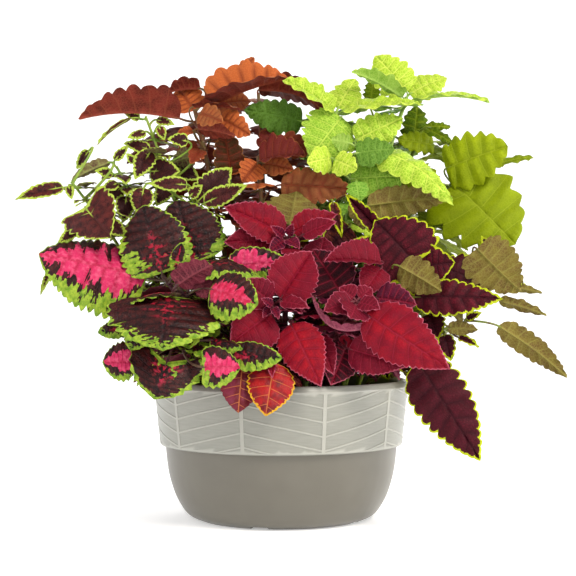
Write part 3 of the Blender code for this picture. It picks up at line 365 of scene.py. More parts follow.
plant("crimson_right", (90, 258, 146), 4.5, 0, [
    Leaf((102, 243, 160), (204, 176, 184), 66, 0, -4, 0.05, tone=0.8),
    Leaf((86, 258, 158), (51, 246, 172), 34, 30, 10, tone=0.3),
    Leaf((94, 257, 158), (120, 248, 172), 26, 38, 10, tone=0.3),
    Leaf((90, 254, 162), (84, 237, 182), 42, 0, 0, tone=0.3),
    Leaf((88, 262, 152), (70, 275, 150), 26, 15, 15, tone=0.3),
    Leaf((94, 262, 150), (110, 274, 144), 24, 20, 15, tone=0.4),
    Leaf((104, 229, 152), (39, 266, 150), 26, 112, 12, -0.30, tone=0.9),
    Leaf((114, 262, 128), (164, 254, 132), 42, 20, tone=0.2),
    Leaf((82, 201, 146), (153, 180, 166), 46, tone=0.4),
])
plant("crimson_back", (122, 306, 88), 4.0, 0, [
    Leaf((120, 304, 96), (51, 306, 112), 56, 48, 36),
    Leaf((72, 268, 108), (38, 321, 94), 62, tone=0),
    Leaf((120, 298, 102), (97, 265, 120), 38, 8, tone=0.6),
    Leaf((44, 300, 82), (52, 336, 70), 46, 10, tone=0.3),
])
plant("crimson_low", (14, 234, 132), 4.0, 0, [
    Leaf((12, 231, 154), (49, 155, 184), 54, 0, -6, 0.06, tone=1),
    Leaf((44, 216, 138), (64, 169, 160), 30, 5),
    Leaf((78, 203, 128), (60, 157, 158), 48, tone=0),
    Leaf((84, 213, 128), (70, 192, 148), 24, tone=1),
    Leaf((-12, 194, 160), (-10, 165, 174), 13, tone=0.8),
])
print("shoots so far:", len(SHOOTS))

# %% [markdown]
# On the right, burgundy leaves with a lime line round them fold and twist, so that some show their
# tan undersides. One hangs down beside the planter, and thin ones trail out.

# %% Wine shoots
plant("wine_main", (152, 312, 68), 4.5, 1, [
    Leaf((160, 306, 76), (112, 356, 62), 86, 0, 6, 0.08, 0.22, tone=0.4),
    Leaf((122, 338, 58), (77, 387, 54), 26, 0, 36, tone=0.2),
    Leaf((140, 304, 80), (87, 333, 84), 42, 8, tone=0.3),
    Leaf((163, 300, 86), (209, 305, 96), 52, 0, 6, 0.10, 0.15, tone=0.4),
    Leaf((194, 298, 58), (255, 272, 54), 58, 18, -8, 0.10, tone=0),
    Leaf((160, 263, 88), (267, 261, 104), 46, 18, -8, tone=0.4),
    Leaf((143, 300, 94), (193, 270, 110), 44, 165, 10),
    Leaf((148, 308, 84), (132, 322, 92), 15, 10, 20),
    Leaf((154, 306, 88), (166, 293, 98), 15, 20, 20),
])
plant("wine_trailing", (226, 236, 74), 3.0, 0, [
    Leaf((166, 184, 146), (240, 66, 166), 68, 0, -6, 0.05, tone=0.1),
    Leaf((262, 228, 78), (344, 166, 92), 32, 160, 10, 0.12),
    Leaf((200, 226, 88), (237, 224, 94), 19, 165, 10),
    Leaf((213, 215, 88), (238, 203, 94), 12, 30, 20, tone=0.3),
    Leaf((222, 237, 78), (241, 245, 78), 11, 20, tone=0.3),
    Leaf((178, 243, 64), (189, 213, 70), 32, tone=0),
    Leaf((196, 218, 74), (204, 186, 80), 22, tone=0),
])
plant("wine_side", (232, 312, 34), 3.5, 0, [
    Leaf((236, 320, 40), (288, 270, 48), 66, 168, 4, 0.08, 0.15),
    Leaf((266, 277, 46), (314, 268, 50), 13, 160, 10),
    Leaf((262, 259, 66), (319, 241, 76), 17, 150, 10),
    Leaf((252, 316, 46), (240, 337, 42), 13, 10, tone=0),
])
plant("wine_middle", (60, 384, 4), 3.5, 0, [
    Leaf((10, 350, 34), (18, 390, 8), 78, 180, 0, tone=0.6),
    Leaf((104, 373, 22), (206, 384, 8), 40, 170, 6, tone=0.4),
    Leaf((86, 378, 40), (100, 344, 56), 22, 168, 8, tone=0.6),
    Leaf((62, 377, 34), (73, 334, 50), 14, tone=1),
    Leaf((82, 348, 30), (51, 317, 42), 44, tone=0.8),
])
print("shoots so far:", len(SHOOTS))

# %% [markdown]
# The small edged kind makes a loose tangle at the left. Its heart-shaped leaf in front is the one
# that everyone remembers.

# %% Edged shoots
plant("edged_top", (-163, 480, -26), 2.8, 2, [
    Leaf((-181, 478, -15), (-222, 446, 5), 15, 60, 15, tone=0.8),
    Leaf((-163, 462, -12), (-185, 454, 5), 16, 20, -20),
    Leaf((-147, 468, -28), (-140, 451, -22), 14, 10, tone=1),
    Leaf((-170, 477, -26), (-189, 484, -26), 12, 20, tone=0.4),
    Leaf((-150, 476, -34), (-128, 470, -32), 14, 20, tone=0.8),
    Leaf((-158, 440, -14), (-190, 448, -12), 20, 30, tone=0.3),
])
plant("edged_far_left", (-252, 402, 30), 2.8, 0, [
    Leaf((-234, 369, 70), (-203, 333, 96), 72, 0, -4, 0.05, 0.50, tone=0.6),
    Leaf((-262, 395, 35), (-320, 380, 46), 23, 30, 8, tone=0.7),
    Leaf((-207, 425, 14), (-253, 403, 30), 20, 140, 20, tone=0.6),
    Leaf((-255, 397, 36), (-251, 380, 42), 12, tone=0.4),
    Leaf((-231, 439, 0), (-246, 416, 8), 15, 10, 20, tone=0),
])
plant("edged_left", (-198, 420, -2), 2.8, 1, [
    Leaf((-200, 427, 4), (-183, 446, -6), 13, 10, tone=0),
    Leaf((-202, 411, 10), (-224, 415, 20), 14, 10, tone=0.3),
    Leaf((-196, 400, 18), (-216, 391, 28), 16, 20, tone=0.2),
    Leaf((-176, 424, 8), (-186, 436, 6), 11, 10, tone=0.4),
    Leaf((-190, 396, 0), (-212, 378, 4), 24, 20, tone=0.2),
    Leaf((-186, 384, 6), (-190, 352, 14), 26, 10, tone=0.1),
])
plant("edged_middle", (-152, 442, -6), 2.8, 1, [
    Leaf((-157, 438, 4), (-176, 404, 24), 28, 5, tone=0.1),
    Leaf((-157, 414, 10), (-121, 414, 20), 36, 15, tone=0.1),
    Leaf((-106, 432, -10), (-132, 424, -4), 30, 160, 10, tone=0.2),
    Leaf((-112, 450, -22), (-137, 453, -20), 22, 20, tone=0),
    Leaf((-132, 402, -10), (-150, 372, 0), 28, 15, tone=0.1),
    Leaf((-128, 420, -20), (-98, 404, -18), 26, 15, tone=0),
])
plant("edged_right", (-108, 386, 26), 2.8, 0, [
    Leaf((-113, 398, 26), (-160, 399, 36), 20, 12),
    Leaf((-110, 384, 36), (-94, 398, 40), 16, 8, tone=0.4),
    Leaf((-100, 378, 30), (-59, 419, 14), 40, tone=0),
    Leaf((-92, 376, 44), (-40, 398, 50), 25, 5),
    Leaf((-165, 394, 32), (-171, 360, 42), 30),
])
plant("edged_heart", (-222, 388, 46), 2.8, 0, [
    Leaf((-244, 345, 56), (-269, 326, 66), 16, 10, tone=0.2),
    Leaf((-276, 297, 62), (-289, 265, 74), 9, 10, tone=0.4),
    Leaf((-206, 352, 50), (-186, 336, 56), 20, 10, tone=0.3),
])
print("shoots so far:", len(SHOOTS))

# %% [markdown]
# The rust kind stands tallest. Its top pair is spread like wings, seen nearly edge on.

# %% Rust shoots
plant("rust_main", (-104, 488, -36), 5.0, 3, [
    Leaf((-123, 478, -32), (-244, 477, -10), 84, 100, 46, 0.07, tone=0.9),
    Leaf((-80, 496, -34), (9, 526, -24), 92, 62, 42, 0.04, 0.20, tone=0),
    Leaf((-98, 514, -60), (-139, 508, -56), 38, 100, 42, tone=0.9),
    Leaf((-105, 487, -48), (-125, 514, -64), 46, 12, tone=0.1),
    Leaf((-106, 492, -22), (-48, 488, -6), 34, 94, 8, tone=0.9),
    Leaf((-78, 494, -62), (-36, 498, -66), 42, 35, tone=0.3),
    Leaf((-98, 484, -18), (-70, 473, -2), 32, 12, tone=0.35),
    Leaf((-74, 478, -18), (-37, 457, -2), 36, 4, tone=0.1),
    Leaf((-100, 465, -14), (-55, 456, 4), 28, 135, 10, tone=0.8),
    Leaf((-106, 463, -18), (-125, 460, -6), 15, 30, tone=0.2),
    Leaf((-100, 444, -24), (-125, 440, -14), 19, 40, tone=0.6),
    Leaf((-97, 440, -18), (-109, 423, -6), 22, 8),
    Leaf((-60, 410, -24), (-70, 466, -8), 40, 12, 10, tone=1),
    Leaf((-48, 532, -76), (-33, 551, -80), 20, 10, tone=0.1),
])
plant("rust_middle", (-28, 432, -18), 4.5, 0, [
    Leaf((-26, 427, -10), (29, 433, 4), 68, 50, 34, 0.05, tone=0.85),
    Leaf((-28, 424, -4), (-47, 401, 10), 36, 4, tone=0.15),
    Leaf((-22, 424, -4), (15, 416, 10), 30, 14, tone=0.3),
    Leaf((0, 453, -30), (31, 432, -26), 36, 8),
    Leaf((-22, 440, -30), (-3, 471, -46), 30, 15, tone=0.8),
    Leaf((0, 398, -2), (86, 392, 8), 48, 10, 0, 0.05, tone=0.4),
])
plant("rust_back", (-28, 508, -84), 4.0, 3, [
    Leaf((-27, 512, -76), (55, 483, -62), 64, 118, 18, 0.14, tone=0.7),
])
print("shoots so far:", len(SHOOTS))

# %% [markdown]
# Beside it stand three lime shoots. Their top leaves are nearly level, so their puckered margins
# show against the sky.

# %% Lime shoots
plant("lime_left", (66, 486, -32), 4.5, 2, [
    Leaf((72, 479, -15), (35, 431, 14), 74, 0, -8),
    Leaf((62, 487, -24), (1, 523, -15), 47, 52, 22, tone=0.8),
    Leaf((68, 490, -38), (89, 525, -56), 42, 14, tone=0.8),
    Leaf((24, 474, -40), (-45, 488, -32), 46, 10, tone=0),
    Leaf((76, 488, -20), (168, 494, 4), 44, 66, 8, tone=0.9),
])
plant("lime_right", (150, 503, -52), 4.5, 2, [
    Leaf((150, 510, -56), (112, 553, -62), 58, 14, tone=0.9),
    Leaf((145, 504, -50), (84, 534, -42), 42, 112, 18, tone=0.8),
    Leaf((154, 507, -50), (198, 527, -60), 44, 34, tone=0.9),
    Leaf((158, 499, -46), (251, 497, -26), 38, 76, 12, 0.08, tone=0.8),
])
plant("lime_front", (96, 442, -2), 4.5, 0, [
    Leaf((112, 440, 10), (207, 373, 24), 48, 34, -22, 0.16, tone=0.7),
    Leaf((90, 452, 0), (146, 478, -10), 46, 8, tone=0.7),
    Leaf((84, 405, 14), (151, 407, 20), 52, 18, tone=0.4),
    Leaf((90, 436, 20), (136, 441, 15), 40, 18, tone=0.1),
    Leaf((64, 428, 20), (91, 416, 34), 34, 4, tone=0.9),
    Leaf((60, 430, 20), (31, 424, 30), 36, 8, tone=0.9),
    Leaf((38, 412, 4), (1, 402, 0), 24, 18, tone=0.2),
    Leaf((90, 402, 18), (94, 377, 28), 28, tone=0.3),
    Leaf((82, 448, 4), (60, 452, 4), 26, 150, tone=0.9),
])
print("shoots so far:", len(SHOOTS))

# %% [markdown]
# The last kind has broad, coarsely toothed leaves of plain yellow green, at the far right.

# %% Chartreuse shoots
plant("chartreuse_top", (168, 462, -92), 4.0, 2, [
    Leaf((158, 450, -90), (163, 492, -96), 38, 4, tone=0.1),
    Leaf((174, 468, -86), (203, 467, -78), 14, 25, tone=0.2),
    Leaf((174, 465, -82), (207, 447, -72), 15, 25, tone=0.2),
    Leaf((182, 446, -78), (139, 452, -72), 32, 15, tone=0.6),
    Leaf((107, 499, -96), (110, 524, -100), 24, tone=0.3),
])
plant("chartreuse_side", (210, 408, -46), 4.5, 1, [
    Leaf((211, 396, -24), (281, 326, 0), 118, 4, -4, 0.05, 0.30),
    Leaf((198, 418, -46), (272, 444, -46), 72, 0, -4, tone=0.8),
    Leaf((262, 424, -54), (303, 431, -54), 14, 45, tone=0.4),
    Leaf((152, 418, -52), (191, 383, -42), 44, tone=0.4),
    Leaf((222, 404, -64), (204, 394, -58), 18, tone=0),
])
print("shoots so far:", len(SHOOTS))

# %% [markdown]
# The far side of a planting is as full as its front, but nobody has drawn it leaf by leaf. Coleus
# leaves grow in crossed pairs, each pair turned a quarter from the one below, so a rule grows those
# shoots: small leaves at the tip, larger and more drooping ones further down.

# %% Shoots of the far side
# Name, top and pairs of leaves
FAR_SHOOTS = [
    ("rust_rear", (-72, 458, -118), 5),
    ("lime_rear", (62, 462, -124), 5),
    ("chartreuse_rear", (172, 396, -128), 4),
    ("edged_rear", (-180, 384, -100), 6),
    ("mosaic_rear", (-128, 290, -150), 4),
    ("crimson_rear", (5, 335, -172), 5),
    ("wine_rear", (132, 298, -160), 4),
    ("rust_low", (-62, 235, -185), 3),
    ("lime_low", (62, 228, -185), 3),
]
print(len(FAR_SHOOTS), "shoots by rule")

# %% [markdown]
# A leaf is a curved sheet. Its midrib is an arch from base to tip, its sides lift or droop, and its
# margins wave. The class below turns a flat place on the leaf, so far along and so far across, into
# a point in the room. The plain leaf and the fine leaf are both drawn on it, so they agree.

# %% The curved blade
class Blade:
    """The curved surface of one leaf, on which flat (along, across) places become points."""

    def __init__(self, kind, plan, base, tip, roll, phase):
        self.kind = kind
        self.base = base
        self.length = (tip - base).length
        self.along, self.left, self.out = leaf_axes(base, tip, roll)
        self.half = plan.wide / 2 * MM
        self.fold = math.radians(kind.fold if plan.fold is None else plan.fold)
        self.heart = kind.heart if plan.heart is None else plan.heart
        self.bow = plan.bow
        self.far = plan.far
        self.stalk = STALK_RADIUS * MM + STALK_GROWTH * self.length
        self.phase = phase

    def width_at(self, t, tooth):
        """Half the width at share t of the length. Tooth is 0 in a notch and 1 on a point."""
        kind = self.kind
        peak = kind.shoulder / (kind.shoulder + kind.taper)
        most = peak**kind.shoulder * (1 - peak) ** kind.taper
        body = t**kind.shoulder * (1 - t) ** kind.taper / most
        cut = kind.bite * min(1, t / 0.15) * (1 - tooth)
        return self.half * body * (1 - cut) + self.stalk * (1 - t) ** 6

    def margin(self, t, tooth):
        """Flat place of the margin where the side vein from share t of the midrib ends."""
        lobe = (t + 0.01) / LOBE_PLACE * math.exp(1 - t / LOBE_PLACE)
        ahead = t + self.kind.slant * t * (1 - t)
        return ahead - self.heart * lobe, self.width_at(ahead, tooth)

    def point(self, along, across, lift=0.0):
        """The point of the blade at a flat place, lifted off its upper face."""
        rise = 4 * self.bow * self.length
        middle = self.base + self.along * (along * self.length)
        middle += self.out * (rise * along * (1 - along))
        slope = self.along * self.length + self.out * (rise * (1 - 2 * along))
        normal = slope.normalized().cross(self.left)
        reach = abs(across)
        share = reach / self.half
        turns = self.kind.waves * along + self.phase + (RIPPLE_SHIFT if across > 0 else 0)
        ripple = self.kind.wave * self.half * share**2 * math.sin(2 * math.pi * turns)
        droop = self.kind.arch * self.half * share**2
        height = reach * math.sin(self.fold) - droop + ripple + lift
        sideways = math.copysign(reach * math.cos(self.fold), across)
        return middle + self.left * sideways + normal * height

def tooth_count(blade):
    """Cuts on each margin of the solid blade: fewer on a small or a far leaf."""
    if blade.far or blade.length < SMALL_LEAF * MM:
        return max(3, blade.kind.cuts - 2)
    return max(3, blade.kind.cuts - 1) if blade.length < LARGE_LEAF * MM else blade.kind.cuts

def leaf_mesh(blade, root):
    """Vertices and triangles of one leaf, the blade's first, then those of its stalk down to root."""
    cuts = tooth_count(blade)
    thickness = BLADE_THICKNESS * MM * min(1, 0.5 + blade.length / MM / 80)
    verts = []
    faces = []

    def add(point):
        verts.append(point)
        return len(verts) - 1

    ribs = []
    for j in range(cuts):
        along = j / cuts
        top = add(blade.point(along, 0))
        ribs.append((top, add(blade.point(along, 0, -thickness))))
    end = add(blade.point(1, 0))
    edges = []
    for side in (1, -1):
        edge = []
        for j in range(cuts):
            for phase, tooth in ((0, 0), (blade.kind.lean, 1)):
                along, across = blade.margin((j + phase) / cuts, tooth)
                edge.append(add(blade.point(along, side * across)))
        edges.append(edge + [end])

    def face(a, b, c, forward):
        faces.append((a, b, c) if forward else (a, c, b))

    for side, edge in enumerate(edges):
        for layer in (0, 1):
            for j in range(cuts):
                near = ribs[j][layer]
                far = ribs[j + 1][layer] if j + 1 < cuts else end
                notch, peak, following = edge[2 * j:2 * j + 3]
                face(near, peak, notch, side == layer)
                face(near, far, peak, side == layer)
                if far != following:
                    face(far, following, peak, side == layer)
    top, bottom = ribs[0]
    foot, inner = (top, bottom, edges[0][0], edges[1][0]), None
    if blade.heart > HEART_SHAPED:
        faces += [(top, foot[2], bottom), (top, bottom, foot[3])]
        foot, inner = None, blade.point(STALK_INSET, 0, -thickness / 2)
    blade_faces = len(faces)
    add_stalk(blade, root, foot, inner, add, faces)
    return verts, faces, blade_faces

def three_ways(across, upward):
    """The three corner directions of a stalk."""
    return (across + upward * 0.5, -upward, upward * 0.5 - across)

def bend(start, knee, end, t):
    """The point at share t of a curve that leaves start towards knee and arrives at end."""
    return start * (1 - t) ** 2 + knee * (2 * t * (1 - t)) + end * t**2

def stalk_line(blade, root):
    """Where a stalk starts, the knee of its curve, and its ways ahead and up at the start."""
    start = blade.point(0, 0)
    facing = (blade.point(0.05, 0) - start).normalized()
    upward = facing.cross(blade.left)
    away = (facing + upward * STALK_RISE).normalized()
    knee = start - away * max(STALK_KNEE * (start - root).length, 2 * blade.stalk)
    return start, knee, facing, upward

def add_stalk(blade, root, foot, inner, add, faces):
    """A three-sided stalk that leaves the blade straight and bends to the stem, closed at the stem.

    It grows from the four corners of the blade's foot. Below a heart-shaped blade, which has
    lobes beside its foot, it's a closed solid of its own that starts inside the blade.
    """
    start, knee, facing, upward = stalk_line(blade, root)
    across = blade.left
    bent = (start - root).length > STALK_STRAIGHT * MM or facing.angle(start - root) > 1
    steps = STALK_STEPS[1:] if bent else STALK_STEPS[2:]
    ring = None
    if foot is None:
        ring = [add(inner + way * STALK_TIP * MM) for way in three_ways(across, upward)]
        faces.append((ring[0], ring[2], ring[1]))
        start -= upward * blade.stalk
        knee -= upward * blade.stalk
        steps = (STALK_STEPS[0], *steps)
    else:
        top, bottom, left, right = foot
    for t in steps:
        centre = bend(start, knee, root, t)
        towards = (start * (1 - t) + knee * (2 * t - 1) - root * t).normalized()
        swing = facing.rotation_difference(towards)
        facing, across, upward = towards, swing @ across, swing @ upward
        radius = blade.stalk * (1 - STALK_TAPER * t)
        following = [add(centre + way * radius) for way in three_ways(across, upward)]
        if ring is None:
            faces.append((top, left, following[0]))
            faces.append((top, following[0], following[2]))
            faces.append((top, following[2], right))
            pairs = ((left, bottom, 0, 1), (bottom, right, 1, 2))
        else:
            pairs = ((ring[0], ring[1], 0, 1), (ring[1], ring[2], 1, 2), (ring[2], ring[0], 2, 0))
        for one, two, k, m in pairs:
            faces.append((one, two, following[m]))
            faces.append((one, following[m], following[k]))
        ring = following
    faces.append((ring[0], ring[1], ring[2]))

print("blade surface ready")

# %% [markdown]
# Coleus stems are square. Each one leaves the soil near the middle of the planter and bends out to
# the place where its leaves are, and the stalk of each leaf starts from a free place on it.

# %% Stems
def stem_line(shoot, foot_move):
    """Centre points of a shoot's stem, from its foot in the soil up to its top."""
    top = spot(*shoot.top)
    foot = Vector((top.x, top.y, 0)) * STEM_SPREAD + foot_move * MM
    reach = STEM_REACH * MM
    if foot.length > reach:
        foot = foot * (reach / foot.length)
    surface = Vector((foot.x, foot.y, SOIL_TOP * MM))
    knee = surface.lerp(top, STEM_KNEE[0])
    knee.z = surface.z + (top.z - surface.z) * STEM_KNEE[1]
    points = [surface - Vector((0, 0, STEM_DEPTH * MM))]
    return points + [bend(surface, knee, top, k / STEM_STEPS) for k in range(STEM_STEPS + 1)]

def stem_mesh(points, thick):
    """A square stem along its centre points, thinner towards the top."""
    verts = []
    faces = []
    last = len(points) - 1
    for k, point in enumerate(points):
        ahead = points[min(k + 1, last)] - points[max(k - 1, 0)]
        ahead.normalize()
        if k <= 1:
            ahead = Vector((0, 0, 1))
        side = ahead.cross(Vector((0, 1, 0))).normalized()
        front = ahead.cross(side)
        thinning = (STEM_TAPER[1] - STEM_TAPER[0]) * max(k - 1, 0) / (last - 1)
        radius = thick * MM * (STEM_TAPER[0] + thinning)
        verts += [point + way * radius for way in (side, front, -side, -front)]
    for k in range(last):
        for m in range(4):
            a, b = 4 * k + m, 4 * k + (m + 1) % 4
            faces.append((a, b, b + 4))
            faces.append((a, b + 4, a + 4))
    faces += [(0, 2, 1), (0, 3, 2)]
    e = 4 * last
    faces += [(e, e + 1, e + 2), (e, e + 2, e + 3)]
    return verts, faces

def stem_root(points, start, taken):
    """Where a leaf's stalk leaves its stem: a little below the blade's start, on a free place."""
    level = min((start - p).length for p in points)
    aim = start - Vector((0, 0, 0.45 * level))
    places = []
    for a, b in zip(points[2:], points[3:]):
        count = max(2, round((b - a).length / (ROOT_SPACING * MM)))
        places += [a.lerp(b, s / count) for s in range(1, count)]
    free = [p for p in places if all((p - other).length > ROOT_SPACING * MM for other in taken)]
    return min(free or places, key=lambda p: (p - aim).length)

print("stems have", STEM_STEPS, "bends")

# %% [markdown]
# Leaves of a crowded plant rest against each other but don't pass through each other. Each leaf is
# first tried where it was drawn. If its plain form crosses something, its tip, its base and its roll
# are moved in small steps, until it is clear. A tree of bounding boxes makes that test quick.

# %% Bending leaves clear
# Places to try for a stem's foot, in millimetres from the first choice, the nearest first.
STEPS = range(-5, 6)
FOOT_MOVES = sorted((Vector((8 * i, 8 * j, 0)) for i in STEPS for j in STEPS), key=lambda v: v.length)

# How a leaf may be bent clear: moves of its tip, its base and its roll, the smallest first.
SWINGS = sorted(
    (abs(tip) + 1.6 * abs(base) + abs(roll), tip, base, roll)
    for tip in range(-60, 61, 6) for base in range(-18, 19, 6) for roll in (0, -12, 12)
)
WAYS = ((0, 0, 0), (-1, 0, 0), (1, 0, 0), (0, -1, 0), (0, 1, 0), (0, 0, -1), (0, 0, 1))
SHIFTS = [Vector(way) * (CLEARANCE * MM) for way in WAYS]

def box_of(verts):
    """The lowest and the highest corner of the box round a mesh's vertices."""
    return Vector(map(min, zip(*verts))), Vector(map(max, zip(*verts)))

def close_to(low, high, others, margin=0.0):
    """The trees of those meshes whose boxes come within a margin of a box."""
    return [
        tree for tree, lowest, highest in others
        if all(lowest[i] < high[i] + margin and highest[i] > low[i] - margin for i in range(3))
    ]

def is_clear(verts, faces, others):
    """True if the mesh, and its copies moved by the clearance each way, cross none of the others."""
    close = close_to(*box_of(verts), others, CLEARANCE * MM)
    if not close:
        return True
    for shift in SHIFTS:
        tree = BVHTree.FromPolygons([v + shift for v in verts], faces)
        if any(tree.overlap(other) for other in close):
            return False
    return True

def crosses_itself(verts, faces):
    """True if two triangles of a mesh cross that have no corner in common."""
    tree = BVHTree.FromPolygons(verts, faces)
    return any(a < b and not set(faces[a]) & set(faces[b]) for a, b in tree.overlap(tree))

def kept(verts, faces):
    """What is_clear needs to know about a mesh that is in place."""
    return BVHTree.FromPolygons(verts, faces), *box_of(verts)

def planted_stems(shoots, walls):
    """Every shoot's stem, its foot moved until it is clear of the planter and of other stems."""
    stems = {}
    placed = list(walls)
    for shoot in shoots:
        for foot_move in FOOT_MOVES:
            points = stem_line(shoot, foot_move)
            verts, faces = stem_mesh(points, shoot.thick)
            if is_clear(verts, faces, placed):
                break
        stems[shoot.name] = points
        placed.append(kept(verts, faces))
    return stems

def planted_leaves(shoots, stems, walls):
    """Every shoot's leaves as (plan, blade, root), bent clear of all that is already in place."""
    draw = random.Random(SEED)
    strangers = {shoot.name: list(walls) for shoot in shoots}
    blades, roots, grown = ({shoot.name: [] for shoot in shoots} for _ in range(3))

    def add_stranger(name, mesh):
        for other in strangers:
            if other != name:
                strangers[other].append(mesh)

    for shoot in shoots:
        add_stranger(shoot.name, kept(*stem_mesh(stems[shoot.name], shoot.thick)))

    def fits(name, verts, faces, blade_faces, strict, heart):
        solids = (faces[:blade_faces], faces[blade_faces:]) if heart > HEART_SHAPED else (faces,)
        if any(crosses_itself(verts, solid) for solid in solids):
            return False
        if not is_clear(verts, faces, strangers[name]):
            return False
        if not is_clear(verts, faces[:blade_faces], blades[name]):
            return False
        return not strict or is_clear(verts, faces[blade_faces:], blades[name])

    def grow(shoot, plan):
        name = shoot.name
        phase = draw.random()
        for strict in (True, False):
            for _, tip_move, base_move, roll_move in SWINGS:
                base = spot(*plan.base[:2], plan.base[2] + base_move)
                tip = spot(*plan.tip[:2], plan.tip[2] + base_move + tip_move)
                blade = Blade(KINDS[shoot.kind], plan, base, tip, plan.roll + roll_move, phase)
                root = stem_root(stems[name], base, roots[name])
                verts, faces, blade_faces = leaf_mesh(blade, root)
                if fits(name, verts, faces, blade_faces, strict, blade.heart):
                    grown[name].append((plan, blade, root))
                    roots[name].append(root)
                    blades[name].append(kept(verts, faces[:blade_faces]))
                    add_stranger(name, kept(verts, faces))
                    return
        print("no room for a leaf of", name, "from", plan.base, "to", plan.tip)

    for shoot in shoots:
        for plan in shoot.leaves:
            grow(shoot, plan)
    for shoot in shoots:
        for plan in rear_leaves(shoot, stems[shoot.name], draw):
            grow(shoot, plan)
    return grown

def turned_to(base, tip, aim):
    """The roll, in degrees, at which a leaf's upper face looks most nearly along aim."""
    facing, sideways = (leaf_axes(base, tip, roll)[2] for roll in (0, 90))
    return math.degrees(math.atan2(aim.dot(sideways), aim.dot(facing)))

def outward_leaf(at, turn, lift, length, wide, tone):
    """A leaf that stands off a stem at a point, towards a turn, its upper face up and outward."""
    level = Vector((math.cos(turn), math.sin(turn), 0))
    way = level * math.cos(lift) + Vector((0, 0, math.sin(lift)))
    start = at + way * (STALK_SHARE * length)
    end = start + way * length - Vector((0, 0, LEAF_DROOP * length))
    roll = turned_to(start, end, level + Vector((0, 0, 1)))
    return Leaf(seen(start), seen(end), wide, roll, LEAF_FOLD, LEAF_BOW, tone=tone, far=True)

def rear_leaves(shoot, points, draw):
    """Leaves on the far side of a shoot, in a fan that droops more the lower it stands."""
    size = KINDS[shoot.kind].size
    plans = []
    for k in range(shoot.behind):
        at = points[-1].lerp(points[-3], 0.3 + 0.6 * k) / MM
        turn = math.radians(90 + (k - (shoot.behind - 1) / 2) * 62 + draw.uniform(-14, 14))
        lift = math.radians(8 - 18 * k + draw.uniform(-8, 8))
        length = size * draw.uniform(0.85, 1.1)
        plans.append(outward_leaf(at, turn, lift, length, REAR_WIDTH * length, draw.random()))
    return plans

def full_shoot(name, top, pairs, draw):
    """A shoot with leaves all round, in crossed pairs that grow from the tip down."""
    kind = name.split("_")[0]
    size = KINDS[kind].size
    shoot = Shoot(name, kind, top, 3.0 if kind == "edged" else 4.2, 0, [])
    points = stem_line(shoot, Vector((0, 0, 0)))
    first = draw.uniform(0, math.pi)
    for k in range(pairs):
        share = k / max(1, pairs - 1)
        at = points[-1].lerp(points[2], 0.85 * share) / MM
        length = size * (0.45 + 0.55 * min(1, 1.6 * share)) * draw.uniform(0.9, 1.1)
        lift = math.radians(28 - 58 * share)
        for half in (0, math.pi):
            turn = first + k * math.pi / 2 + half + draw.uniform(-0.25, 0.25)
            wide = FAR_WIDTH * length
            shoot.leaves.append(outward_leaf(at, turn, lift, length, wide, draw.random()))
    return shoot

def seen(point):
    """The (across, up, near) place of a point given in millimetres."""
    shrink = 1 + point.y / VIEW_DISTANCE
    return point.x / shrink, VIEW_HEIGHT + (point.z - VIEW_HEIGHT) / shrink, -point.y

print(len(SWINGS), "ways to bend a leaf clear")

# %% [markdown]
# The planter and the soil are turned round one axis. Here they are made plainly, with few sides, only
# to keep leaves and stems out of them. Their outlines are the ones that the fine planter uses too.

# %% Outlines of planter and soil
# Planter: outline of its outside below the band and of its rim, as (radius, height) in millimetres
BODY_OUTLINE = ((99, 0), (112, 6), (121, 18), (128.5, 34), (135, 58), (138.5, 88))
RIM_OUTLINE = ((151.2, 161), (148.8, 164.5), (145, 165), (142, 162), (142, 159), (147, 156))
BAND_FOOT_RADIUS = 144.5
BAND_FOOT_HEIGHT = 88.6
BAND_TOP_RADIUS = 151.8
BAND_TOP_HEIGHT = 157.0
WALL = 3.5
FLOOR_THICKNESS = 4.0
ROUND_SEGMENTS = 30

# Drainage under the planter, in millimetres
CHANNELS = 5
CHANNEL_START = -104.0
CHANNEL_WIDTH = 21.0
CHANNEL_HEIGHT = 3.0
CHANNEL_REACH = (42.0, 112.0)
DRAIN_PLACE = 70.0
DRAIN_RADIUS = 6.0

# Herringbone relief on the band, in millimetres and degrees
PANELS = 10
PANEL_START = -107.0
RIDGES = 5
RIDGE_START = -12.0
RIDGE_SPACING = 16.0
RIDGE_RISE = 21.0
RIDGE_WIDTH = 2.2
RIDGE_RELIEF = 0.9

# Soil, in millimetres
SOIL_TOP = 150.0
SOIL_GAP = (0.45, 0.35)
SOIL_RINGS = (110, 75, 38)
SOIL_LUMPS = 3.5
STEM_DEPTH = 14.0

def ring_point(radius, height, turn):
    """A point on a circle round the planter's axis, with its turn in degrees from +X."""
    angle = math.radians(turn)
    return Vector((radius * math.cos(angle), radius * math.sin(angle), height)) * MM

def even_turns(segments):
    """Turns of a number of even segments, in degrees."""
    return [PANEL_START + 360 * k / segments for k in range(segments)]

def turned(outline, turns):
    """A closed solid turned about the axis from its lower pole to its upper one.

    The outline's entries are (radius, height), or functions of the turn that give them.
    """
    verts = [Vector((0, 0, outline[0][1])) * MM]
    for entry in outline[1:-1]:
        for turn in turns:
            radius, height = entry(turn) if callable(entry) else entry
            verts.append(ring_point(radius, height, turn))
    verts.append(Vector((0, 0, outline[-1][1])) * MM)
    return verts, turned_faces(len(outline) - 2, len(turns))

def slat_rise(turn):
    """How far the slats have risen at a turn: 1 to 0 over one panel, and back over the next."""
    share = (turn - PANEL_START) / (720 / PANELS) % 1
    return abs(2 * share - 1)

def band_radius(height):
    """The band's plain radius at a height."""
    share = (height - BAND_FOOT_HEIGHT) / (BAND_TOP_HEIGHT - BAND_FOOT_HEIGHT)
    return BAND_FOOT_RADIUS + (BAND_TOP_RADIUS - BAND_FOOT_RADIUS) * share

